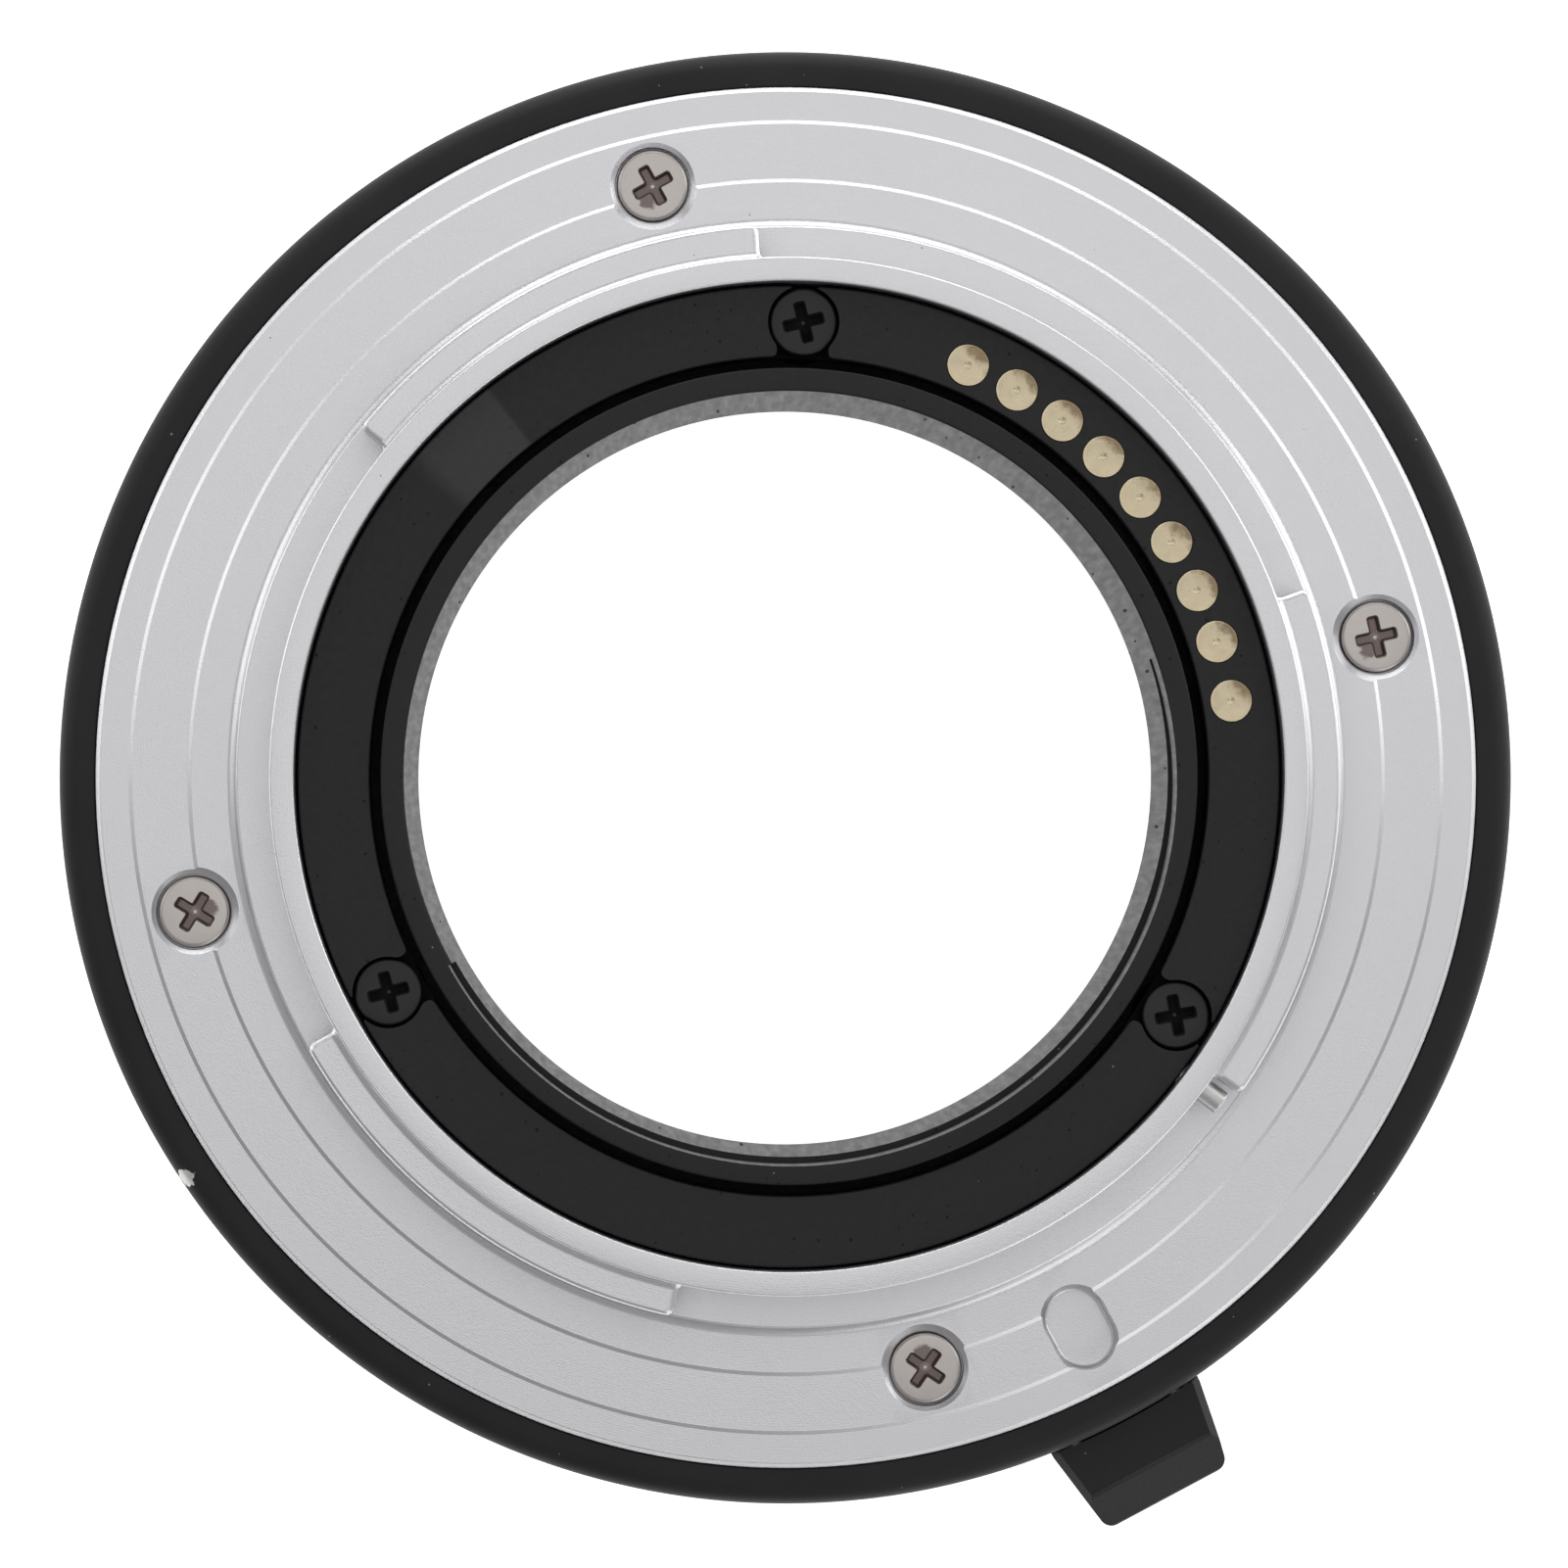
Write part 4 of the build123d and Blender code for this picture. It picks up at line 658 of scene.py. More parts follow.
@dataclass(frozen=True)
class BlackAnodised(Finish):
    """Blasted and black anodised aluminium, smoother where marked, with dust and one chip in its shoulder."""

    slot = Slot.BLACK_ANODISED
    colour: Colour = (0.0212, 0.0212, 0.0217, 1.0)
    dust: Colour = (0.22, 0.22, 0.22, 1.0)
    bare: Colour = (0.62, 0.62, 0.60, 1.0)
    grain_size: float = 0.09
    chip_place: tuple[float, float, float] = (-25.2, -16.75, 9.15)
    chip_radius: float = 0.42
    chip_edge: float = 0.04
    chip_raggedness: float = 0.7
    roughness: float = 0.42
    smoothness: float = 0.2
    specular: float = 0.13
    relief: float = 0.008

    def sockets(self, bench: Bench, place: Wire) -> dict[str, object]:
        """What the shader gets."""
        grain = bench.noise(place, self.grain_size, 3.0)
        cloud = bench.noise(place, 4.0)
        dust = bench.specks(place, 0.6, 0.05, 0.2)
        away = bench.vectors("DISTANCE", place, self.chip_place, "Value")
        ragged = away + (bench.noise(place, 0.22) - 0.5) * self.chip_raggedness
        chip = bench.ramp(ragged, self.chip_radius + self.chip_edge, self.chip_radius - self.chip_edge)
        tone = bench.shaded(self.colour, 0.8 + 0.4 * cloud)
        colour = bench.mix(chip, bench.mix(dust, tone, self.dust), self.bare)
        return {
            "Base Color": colour,
            "Metallic": chip * 0.9,
            "Roughness": self.roughness + 0.1 * grain - self.smoothness * bench.marked(),
            "Specular IOR Level": self.specular,
            "Normal": bench.bump(grain - chip * 2.0, self.relief),
        }


@dataclass(frozen=True)
class SatinSilver(Finish):
    """Pearl-blasted bright plating on turned metal, with a few dark specks."""

    slot = Slot.SATIN_SILVER
    colour: Colour = (0.70, 0.70, 0.722, 1.0)
    speck: Colour = (0.10, 0.09, 0.08, 1.0)
    grain_size: float = 0.07
    ring_rate: float = 58.0
    roughness: float = 0.31
    relief: float = 0.009

    def sockets(self, bench: Bench, place: Wire) -> dict[str, object]:
        """What the shader gets."""
        x, y, _ = bench.parts(place)
        grain = bench.noise(place, self.grain_size, 2.0)
        cloud = bench.noise(place, 2.5)
        rings = bench.maths("SINE", bench.radius(x, y) * self.ring_rate)
        speck = bench.specks(place, 0.8, 0.045, 0.1)
        tone = bench.shaded(self.colour, 0.90 + 0.06 * cloud + 0.14 * grain)
        return {
            "Base Color": bench.mix(speck, tone, self.speck),
            "Metallic": 1.0 - speck,
            "Roughness": self.roughness + 0.08 * grain + 0.04 * cloud,
            "Normal": bench.bump(grain + rings * 0.06, self.relief),
        }


@dataclass(frozen=True)
class NickelScrew(Finish):
    """Warm nickel plating with turned lines, painted shade in the cross, and scuffed where a driver slipped."""

    slot = Slot.NICKEL_SCREW
    colour: Colour = (0.50, 0.465, 0.445, 1.0)
    recess: Colour = (0.12, 0.085, 0.075, 1.0)
    ring_pitch: float = 0.09
    grain_size: float = 0.05
    slip_place: float = 0.45
    slip_from: float = 0.46
    slip_to: float = 0.26
    roughness: float = 0.27
    relief: float = 0.004

    def sockets(self, bench: Bench, place: Wire) -> dict[str, object]:
        """What the shader gets."""
        x, y, _ = bench.parts(bench.chart())
        inside = x > MARK / 2
        out = bench.radius(x - MARK * inside, y)
        rings = bench.maths("SINE", out * (2 * np.pi / self.ring_pitch))
        grain = bench.noise(place, self.grain_size, 3.0)
        slip = bench.radius(x + self.slip_place, y - self.slip_place) + (bench.noise(place, 0.25) - 0.5) * 0.5
        scuff = bench.ramp(slip, self.slip_from, self.slip_to)
        # Painted shade: the cross recess is darkened to a brown in the colour; the scuff is real wear and
        # shares that darker colour.
        dark = bench.maths("MAXIMUM", inside * (0.75 + 0.25 * grain), scuff * 0.75)
        return {
            "Base Color": bench.mix(dark, bench.shaded(self.colour, 0.92 + 0.16 * grain), self.recess),
            "Metallic": 1.0,
            "Roughness": self.roughness + 0.1 * grain + 0.12 * scuff,
            "Normal": bench.bump(grain * 0.7 + rings * 0.25 - scuff * 2.0, self.relief),
        }


@dataclass(frozen=True)
class PlainMetal(Finish):
    """Metal of one colour with a fine grain, for pins, springs and blackened screws."""

    slot: Slot
    colour: Colour
    metallic: float = 1.0
    roughness: float = 0.3
    grain_size: float = 0.08
    grain_depth: float = 0.003
    recess_shade: float = 0.2
    recess_roughness: float = 0.5

    def sockets(self, bench: Bench, place: Wire) -> dict[str, object]:
        """What the shader gets."""
        grain = bench.noise(place, self.grain_size, 3.0)
        cloud = bench.noise(place, 1.2)
        recess = bench.marked()
        shade = 1.0 - recess * (1 - self.recess_shade)
        return {
            "Base Color": bench.shaded(self.colour, (0.85 + 0.15 * cloud + 0.1 * grain) * shade),
            "Metallic": self.metallic,
            "Roughness": self.roughness + 0.1 * grain + self.recess_roughness * recess,
            "Normal": bench.bump(grain, self.grain_depth),
        }


@dataclass(frozen=True)
class GoldContact(Finish):
    """Pale gold plating with turned rings, and a painted reflection: a brownish crescent towards one side of
    each pad.
    """

    slot = Slot.GOLD_CONTACT
    colour: Colour = (0.64, 0.55, 0.385, 1.0)
    painted_reflection: Colour = (0.25, 0.18, 0.11, 1.0)
    ring_pitch: float = 0.075
    grain_size: float = 0.06
    reflection_way: tuple[float, float] = (0.75, 0.66)
    reflection_band: tuple[float, float] = (0.22, 0.78)
    reflection_rim: tuple[float, float] = (0.90, 0.82)
    roughness: float = 0.30
    relief: float = 0.007

    def sockets(self, bench: Bench, place: Wire) -> dict[str, object]:
        """What the shader gets."""
        x, y, _ = bench.parts(bench.chart())
        out = bench.radius(x, y)
        rings = bench.maths("SINE", out * (2 * np.pi / self.ring_pitch))
        grain = bench.noise(place, self.grain_size, 3.0)
        worn = bench.noise(place, 0.5)
        # Painted reflection: a brownish crescent on the same side of every pad stands in for something dark
        # mirrored in the gold.
        lean = x * self.reflection_way[0] + y * self.reflection_way[1]
        lean = lean + (worn - 0.5) * 1.1 + (bench.noise(place, 0.15) - 0.5) * 0.3
        crescent = bench.ramp(lean, *self.reflection_band) * bench.ramp(out, *self.reflection_rim)
        plating = bench.shaded(self.colour, 0.85 + 0.3 * worn)
        return {
            "Base Color": bench.mix(crescent * 0.9, plating, self.painted_reflection),
            "Metallic": 1.0,
            "Roughness": self.roughness + 0.1 * grain,
            "Normal": bench.bump(rings * 0.3 + grain * 0.5, self.relief),
        }


@dataclass(frozen=True)
class BlackMoulding(Finish):
    """Black moulded plastic with a fine spark-eroded texture, a little dust, one patch rubbed paler and painted
    shade in the marked pockets.
    """

    slot = Slot.BLACK_MOULDING
    colour: Colour = (0.0070, 0.0070, 0.0072, 1.0)
    dust: Colour = (0.16, 0.16, 0.16, 1.0)
    rubbed: Colour = (0.028, 0.028, 0.0285, 1.0)
    grain_size: float = 0.07
    rubbed_from: float = 127.9
    rubbed_to: float = 139.2
    rubbed_inside: float = 17.3
    draw: tuple[float, float, float] = (1.0, 1.0, 0.08)
    pocket_shade: float = 0.8
    roughness: float = 0.42
    specular: float = 0.336
    relief: float = 0.006

    def sockets(self, bench: Bench, place: Wire) -> dict[str, object]:
        """What the shader gets."""
        x, y, _ = bench.parts(place)
        grain = bench.noise(place, self.grain_size, 3.0)
        dust = bench.specks(place, 0.7, 0.045, 0.1)
        drawn = bench.vectors("MULTIPLY", place, self.draw)
        pits, mottle = bench.specks(drawn, 0.5, 0.08, 0.4), bench.noise(drawn, 0.3, 3.0)
        bearing = bench.maths("ARCTAN2", y, x) * (180 / np.pi)
        patch = bench.ramp(bearing, self.rubbed_from - 0.4, self.rubbed_from + 0.4)
        patch = patch * bench.ramp(bearing, self.rubbed_to + 2.0, self.rubbed_to - 1.0)
        # Painted shade: surfaces cut by a marked form, the screw pockets, are darkened in the colour and made
        # rougher.
        patch = patch * (bench.radius(x, y) > self.rubbed_inside)
        shaded_pocket = bench.marked()
        plain = bench.shaded(self.colour, (0.85 + 0.3 * grain) * (1 - self.pocket_shade * shaded_pocket))
        tone = bench.mix(patch, plain, self.rubbed)
        return {
            "Base Color": bench.mix(dust, tone, self.dust),
            "Roughness": self.roughness + 0.1 * grain + 0.3 * (mottle - 0.5) + 0.45 * pits + 0.45 * shaded_pocket,
            "Specular IOR Level": self.specular,
            "Normal": bench.bump(grain - 1.5 * pits, self.relief),
        }


@dataclass(frozen=True)
class FlexFilm(Finish):
    """Amber polyimide film with copper tracks under it."""

    slot = Slot.FLEX_FILM
    colour: Colour = (0.42, 0.17, 0.03, 1.0)
    copper: Colour = (0.60, 0.30, 0.12, 1.0)
    track_pitch: float = 0.45
    coat: float = 0.4
    roughness: float = 0.28
    relief: float = 0.01

    def sockets(self, bench: Bench, place: Wire) -> dict[str, object]:
        """What the shader gets."""
        x, y, _ = bench.parts(place)
        tracks = bench.maths("SINE", bench.radius(x, y) * (2 * np.pi / self.track_pitch))
        track = bench.ramp(tracks, 0.0, 0.3)
        return {
            "Base Color": bench.mix(track, self.colour, self.copper),
            "Roughness": self.roughness + 0.06 * track,
            "Coat Weight": self.coat,
            "Normal": bench.bump(track, self.relief),
        }


@dataclass(frozen=True)
class IndexWhite(Finish):
    """White enamel filled into the index dot, slightly uneven."""

    slot = Slot.INDEX_WHITE
    colour: Colour = (0.80, 0.79, 0.76, 1.0)
    roughness: float = 0.25
    relief: float = 0.02

    def sockets(self, bench: Bench, place: Wire) -> dict[str, object]:
        """What the shader gets."""
        soft = bench.noise(place, 0.4)
        return {
            "Base Color": bench.shaded(self.colour, 0.92 + 0.12 * soft),
            "Roughness": self.roughness + 0.1 * soft,
            "Normal": bench.bump(soft, self.relief),
        }


class Finishing:
    """Every finish of the tube, made once, and how a piece gets one and takes its place."""

    def __init__(self) -> None:
        """Makes the materials."""
        finishes = (
            BlackAnodised(),
            SatinSilver(),
            NickelScrew(),
            PlainMetal(Slot.BLACK_SCREW, (0.016, 0.016, 0.017, 1.0), metallic=0.35, roughness=0.36),
            PlainMetal(Slot.STEEL_PIN, (0.62, 0.615, 0.61, 1.0), roughness=0.38),
            PlainMetal(Slot.SPRING_STEEL, (0.56, 0.56, 0.55, 1.0), roughness=0.26),
            GoldContact(),
            BlackMoulding(),
            FlexFilm(),
            IndexWhite(),
        )
        self.materials = {finish.slot: finish.material() for finish in finishes}

    def dress(self, piece: bpy.types.Object, slot: Slot, body: str, *nodes: str) -> bpy.types.Object:
        """Gives a new piece its finish, its body and the nodes it stands for.

        Args:
            piece: The finished piece.
            slot: Its finish.
            body: The body it rides on.
            *nodes: The nodes that it replaces.

        Returns:
            The piece.
        """
        piece.data.materials.clear()
        piece.data.materials.append(self.materials[slot])
        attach(piece, body)
        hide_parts(*nodes)
        log.info("%s: %d faces, %s, rides on %s", piece.name, len(piece.data.polygons), slot.value, body)
        return piece

    def make(self, name: str, form: Form, slot: Slot, body: str, node: str) -> bpy.types.Object:
        """Makes a piece of one form that needs no tools, and dresses it."""
        return self.dress(Workpiece(name, form).done(), slot, body, node)

    def paint_node(self, name: str, slot: Slot) -> None:
        """Gives a node that stays as it is its finish."""
        node = frame["nodes"][name]
        node.data.materials.clear()
        node.data.materials.append(self.materials[slot])
        log.info("%s: stays as it is, %s", name, slot.value)


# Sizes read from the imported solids


@dataclass(frozen=True)
class Extent:
    """How far a node reaches from the axis, and its lowest and highest level."""

    reach: float
    low: float
    high: float

    @classmethod
    def of(cls, node: str) -> "Extent":
        """The extent of a node that is round about the axis."""
        low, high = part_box(node)
        return cls(high.x / MM, low.z / MM, high.z / MM)


@dataclass(frozen=True)
class Datum:
    """The main sizes of the tube and the angles that its pieces share."""

    barrel: Extent
    rear: Extent
    front: Extent
    plate: Extent
    baffle: Extent
    leaf: Extent
    flange: float
    throat_radius: float
    register_radius: float
    fit_gap: float = 0.05
    baffle_flange: float = 1.0
    lock_angle: float = 298.0
    lock_circle: float = 26.15
    screw_circle: float = 25.4
    rear_screw_angles: tuple[float, ...] = (13.4, 102.8, 192.8, 283.2)
    front_screw_angles: tuple[float, ...] = (58.4, 147.8, 237.8, 328.2)
    plate_screw_angles: tuple[float, ...] = (88.2, 208.3, 328.3)
    plate_screw_circle: float = 18.725
    contact_circle: float = 18.46
    lug_arcs: tuple[tuple[float, float], ...] = ((93.2, 141.0), (209.2, 257.8), (324.8, 380.0))

    @classmethod
    def from_frame(cls) -> "Datum":
        """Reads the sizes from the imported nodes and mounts."""
        mounts = {mount["name"]: mount for mount in frame["record"]["mounts"]}
        return cls(
            barrel=Extent.of("barrel"),
            rear=Extent.of("rear_bayonet"),
            front=Extent.of("front_bayonet"),
            plate=Extent.of("contact_plate"),
            baffle=Extent.of("light_baffle"),
            leaf=Extent.of("bayonet_spring"),
            flange=mounts["rear_flange"]["pos_m"][2] / MM,
            throat_radius=mounts["front_throat"]["dims"]["r_mm"],
            register_radius=mounts["rear_register"]["dims"]["r_mm"],
        )

    def contact_angles(self) -> Array:
        """Angles of the nine contacts: even steps of 7 degrees, and the last one 7.8 from its neighbour."""
        return np.append(66.5 - 7.0 * np.arange(8), 9.7)


@dataclass(frozen=True)
class CrossScrew:
    """Screw with a cross recess, the middle of its head's face at the origin and its shank down -Z."""

    head_radius: float
    head_height: float
    shank_radius: float
    shank_length: float
    cross_span: float
    cross_width: float
    cross_depth: float
    edge: float = 0.2
    cross_corner: float = 0.09

    def solid(self) -> Form:
        """The screw without its cross: a rounded head on a shank."""
        end = -self.head_height - self.shank_length
        return Form.spun((
            (CORE, 0.0),
            (self.head_radius, 0.0, self.edge),
            (self.head_radius, -self.head_height),
            (self.shank_radius, -self.head_height),
            (self.shank_radius, end, 0.1),
            (CORE, end),
        ), SMALL_SEGMENTS)

    def cross(self) -> Form:
        """The tool of the cross: four arms that narrow as they go down, with a bevelled mouth."""
        reach, side, corner = self.cross_span / 2, self.cross_width / 2, self.cross_corner
        quarter = ((reach, -side, corner), (reach, side, corner), (side, side, corner))
        turns = [np.round(polar(1.0, 90.0 * number)) for number in range(4)]
        corners = [(x * c - y * s, x * s + y * c, r) for c, s in turns for x, y, r in quarter]
        levels = (
            (-0.05, 0.2),
            (-0.05, 0.0),
            (0.0, -0.05),
            (0.03, -0.6 * self.cross_depth),
            (0.07, -self.cross_depth),
        )
        return Form.prism(rounded(corners), levels).marked()

    def point(self) -> Form:
        """The tool of the deeper middle of the cross, a blunt cone."""
        wide = 0.62 * self.cross_width
        profile = ((wide, -0.9 * self.cross_depth), (0.3 * wide, -1.3 * self.cross_depth))
        return Form.turned(np.array(profile), 24, ring=False)

    def set_of(
        self,
        name: str,
        circle: float,
        height: float,
        angles: Sequence[float],
        turns: Sequence[float],
        facing: int = 1,
    ) -> bpy.types.Object:
        """Such screws round the optical axis, as one piece.

        Args:
            name: The piece's name.
            circle: Distance of each screw from the axis.
            height: Level of the heads' faces.
            angles: Angle of each screw.
            turns: Turn of each screw's cross.
            facing: 1 where the heads face the rear, -1 where they face the front.

        Returns:
            The finished mesh object.
        """
        seats = [Seat.level(circle, angle, height, turn, facing) for angle, turn in zip(angles, turns)]
        work = Workpiece(name, Form.joined([self.solid().set_in(seat) for seat in seats]))
        work.work(Working.CUT, *(self.cross().set_in(seat) for seat in seats))
        work.work(Working.CUT, *(self.point().set_in(seat) for seat in seats))
        return work.done()


MOUNT_SCREW = CrossScrew(1.51, 0.75, 0.85, 4.0, 1.7, 0.42, 0.5)
PLATE_SCREW = CrossScrew(1.39, 0.75, 0.5, 3.4, 1.66, 0.42, 0.5, 0.12)
BLOCK_SCREW = CrossScrew(0.95, 0.5, 0.4, 2.5, 1.2, 0.3, 0.3, 0.1)


def coil(radius: float, wire: float, turns: int, low: float, high: float) -> Form:
    """Coil of round wire between two levels.

    Point (u, v) is (c + w cos v) along the radius at angle u and low + w + rise u + w sin v up, with c the
    coil's radius and w half the wire.

    Args:
        radius: Radius of the coil's middle line.
        wire: The wire's diameter.
        turns: Whole turns.
        low: Lowest level.
        high: Highest level.

    Returns:
        The coil.
    """
    angles = np.linspace(0, 360 * turns, 40 * turns + 1)
    ways = np.hstack((polar(1.0, angles), np.zeros((len(angles), 1))))
    path = ways * radius + np.outer(np.linspace(low + wire / 2, high - wire / 2, len(angles)), (0, 0, 1))
    return Form.carried(arc((0, 0), wire / 2, 0, 330, 30), path, ways, ring=True, loop=False)


# Sub-assemblies


@dataclass
class Barrel:
    """The black ring that everything is screwed to, and the dot in its side."""

    datum: Datum
    rear_fillet: float = 0.95
    front_chamfer: float = 0.6
    shelf_radius: float = 21.9
    socket_radius: float = 23.35
    shelf_thickness: float = 1.0
    front_ring_thickness: float = 1.6
    pocket_roof: float = 7.9
    pocket_outer: float = 28.1
    pocket_length: float = 7.7
    pocket_corner: float = 0.4
    neck_width: float = 4.9
    neck_top: float = 6.55
    edge: float = 0.1
    thread_depth: float = 4.2
    index_angle: float = 150.0
    index_height: float = 2.4
    index_radius: float = 0.7
    index_depth: float = 0.5

    def build(self, finishing: Finishing) -> None:
        """Turns the barrel, cuts its holes and the lever's pocket, and fills its dot."""
        datum, edge = self.datum, self.edge
        ring_seat = datum.front.reach + datum.fit_gap
        rear_seat = datum.rear.reach + datum.fit_gap
        collar_seat = datum.leaf.reach + datum.fit_gap
        baffle_seat = datum.baffle.reach + datum.fit_gap
        floor = datum.rear.low
        baffle_front = floor - datum.baffle_flange
        shelf_front = baffle_front - self.shelf_thickness
        profile = rounded((
            (ring_seat, datum.barrel.low, edge),
            (datum.barrel.reach - self.front_chamfer, datum.barrel.low, edge),
            (datum.barrel.reach, datum.barrel.low + self.front_chamfer, edge),
            (datum.barrel.reach, datum.barrel.high, self.rear_fillet),
            (rear_seat, datum.barrel.high, 0.07),
            (rear_seat, floor),
            (baffle_seat, floor),
            (baffle_seat, baffle_front),
            (self.shelf_radius, baffle_front),
            (self.shelf_radius, shelf_front, edge),
            (self.socket_radius, shelf_front),
            (self.socket_radius, datum.leaf.high),
            (collar_seat, datum.leaf.high),
            (collar_seat, self.front_ring_thickness),
            (ring_seat, self.front_ring_thickness),
        ))
        hole, front = MOUNT_SCREW.shank_radius, self.front_ring_thickness
        rear_hole = drilled(hole, floor - self.thread_depth, floor + OVERRUN)
        front_hole = drilled(hole, front - OVERRUN, front + self.thread_depth)
        holes = rear_hole.around(datum.screw_circle, datum.rear_screw_angles)
        holes += front_hole.around(datum.screw_circle, datum.front_screw_angles)
        radial = Seat.level(0.0, datum.lock_angle)
        pocket = oblong(collar_seat, self.pocket_outer, self.pocket_length, self.pocket_corner)
        holes.append(Form.prism(pocket, ((0, -OVERRUN), (0, self.pocket_roof))).set_in(radial))
        index_seat = Seat.upright(datum.barrel.reach, self.index_angle, self.index_height)
        holes.append(drilled(self.index_radius, -self.index_depth, OVERRUN, PIN_SEGMENTS).set_in(index_seat))
        neck = oblong(self.pocket_outer - OVERRUN, datum.barrel.reach + OVERRUN, self.neck_width)
        neck_form = Form.prism(neck, ((0, -OVERRUN), (0, self.neck_top))).set_in(radial)
        work = Workpiece("turned_barrel", Form.turned(profile))
        work.work(Working.CUT, *holes).work(Working.CUT, neck_form)
        finishing.dress(work.done(), Slot.BLACK_ANODISED, "tube", "barrel")
        dot = Form.spun((
            (CORE, -0.04),
            (self.index_radius, -0.06, 0.05),
            (self.index_radius, -self.index_depth),
            (CORE, -self.index_depth),
        ))
        finishing.make("enamel_dot", dot.set_in(index_seat), Slot.INDEX_WHITE, "tube", "index_dot")


@dataclass
class RearBayonet:
    """The silver male mount: plate in three fine steps, register, tube, three lugs, stop pin and screws."""

    datum: Datum
    tube_bore: float = 20.33
    tube_radius: float = 21.35
    lug_radius: float = 22.75
    lug_low: float = 12.8
    lug_high: float = 14.6
    lug_foot: float = 0.3
    lug_corner: float = 0.35
    lug_edge: float = 0.2
    end_stretch: float = 1.6
    lug_root: float = 0.33
    step: float = 0.1
    riser: float = 0.16
    outer_step: float = 27.5
    inner_step: float = 25.04
    plate_bevel: float = 0.2
    register_height: float = 0.8
    register_foot: float = 0.42
    pocket_radius: float = 1.58
    pocket_depth: float = 1.0
    pocket_bevel: float = 0.4
    recess_length: float = 3.5
    recess_width: float = 2.55
    recess_depth: float = 1.25
    recess_bevel: float = 0.24
    recess_fillet: float = 0.18
    screw_turns: tuple[float, ...] = (89.6, 16.4, 46.0, 42.5)
    stop_angle: float = 322.9
    stop_radius: float = 0.5
    stop_reach: float = 22.4
    stop_height: float = 13.9

    def turned_blank(self) -> Form:
        """The mount as it comes off the lathe."""
        flange, step, rim = self.datum.flange, self.step, self.datum.rear.high
        plate, register = self.datum.rear.reach, self.datum.register_radius
        return Form.turned(rounded((
            (self.tube_bore, self.datum.rear.low),
            (plate, self.datum.rear.low, 0.05),
            (plate, flange - 2 * step - self.plate_bevel, 0.05),
            (plate - self.plate_bevel, flange - 2 * step, 0.05),
            (self.outer_step, flange - 2 * step, 0.02),
            (self.outer_step - self.riser, flange - step, 0.03),
            (self.inner_step, flange - step, 0.02),
            (self.inner_step - self.riser, flange, 0.03),
            (register, flange, self.register_foot),
            (register, flange + self.register_height, 0.12),
            (self.tube_radius, flange + self.register_height, 0.12),
            (self.tube_radius, rim, 0.1),
            (self.tube_bore, rim, 0.12),
        )))

    def lugs(self) -> list[Form]:
        """The three lugs, each a little way into the tube's wall.

        Their upper edges are rounded, and at the ends the rounding is stretched round the axis.
        """
        inside, edge = self.tube_bore + 0.4, self.lug_edge
        line = lug_end(inside, self.tube_radius, self.lug_radius, self.lug_foot, self.lug_corner)
        bend = arc((edge, self.lug_high - edge), edge, 180, 90, 22.5)
        profile = np.vstack(((0.0, self.lug_low), bend)) * (-1, 1)
        forms = []
        for start, end in self.datum.lug_arcs:
            outline = sector(inside, self.lug_radius, start, end, line)
            ways, radial = outward_ways(outline), outline / np.linalg.norm(outline, axis=1)[:, None]
            outwards = np.sum(ways * radial, axis=1)[:, None] * radial
            ways = outwards + self.end_stretch * (ways - outwards)
            flat = np.zeros((len(outline), 1))
            path, outward = np.hstack((outline, flat)), np.hstack((ways, flat))
            forms.append(Form.carried(profile, path, outward, ring=False, loop=True))
        return forms

    def lug_roots(self) -> list[Form]:
        """The concave roots where the tube's rim rises from the lugs: a profile carried along each lug."""
        radius, root, top = self.tube_radius, self.lug_root, self.lug_high
        curve = arc((radius + root, top + root), root, 180, 270)
        sunk = 0.3
        foot = ((radius + root, top - sunk), (radius - sunk, top - sunk), (radius - sunk, top + root))
        profile = np.vstack((curve, foot))
        forms = []
        for start, end in self.datum.lug_arcs:
            ways = polar(1.0, np.linspace(start + 0.4, end - 0.4, 60))
            outward = np.hstack((ways, np.zeros((len(ways), 1))))
            forms.append(Form.carried(profile, np.zeros_like(outward), outward, ring=True, loop=False))
        return forms

    def screw_pocket(self) -> Form:
        """The tool of a counterbore with a wide bevelled mouth, its height counted from the flange."""
        mouth = self.step
        profile = rounded((
            (MOUNT_SCREW.shank_radius, -2 * OVERRUN - self.pocket_depth),
            (MOUNT_SCREW.shank_radius, -self.pocket_depth),
            (self.pocket_radius, -self.pocket_depth),
            (self.pocket_radius, mouth - self.pocket_bevel, 0.05),
            (self.pocket_radius + self.pocket_bevel, mouth),
            (self.pocket_radius + self.pocket_bevel, OVERRUN),
            (CORE, OVERRUN),
            (CORE, -2 * OVERRUN - self.pocket_depth),
        ))
        return Form.turned(profile[:-1], POCKET_SEGMENTS, ring=False)

    def lock_recess(self) -> Form:
        """The tool of the lock pin's recess: a round-ended slot with a rounded floor and a bevelled mouth."""
        half, radius = self.recess_length / 2, self.recess_width / 2
        outline = np.vstack((
            arc((half - radius, 0), radius, -90, 90, 5.0),
            arc((radius - half, 0), radius, 90, 270, 5.0),
        ))
        fillet, bevel = self.recess_fillet, self.recess_bevel
        floor = arc((fillet, fillet - self.recess_depth), fillet, 270, 180, 15.0)
        mouth = ((0.0, -bevel), (-0.02, 0.05 - bevel), (-0.05 - bevel, self.step), (-0.05 - bevel, OVERRUN))
        return Form.prism(outline, [*map(tuple, floor), *mouth])

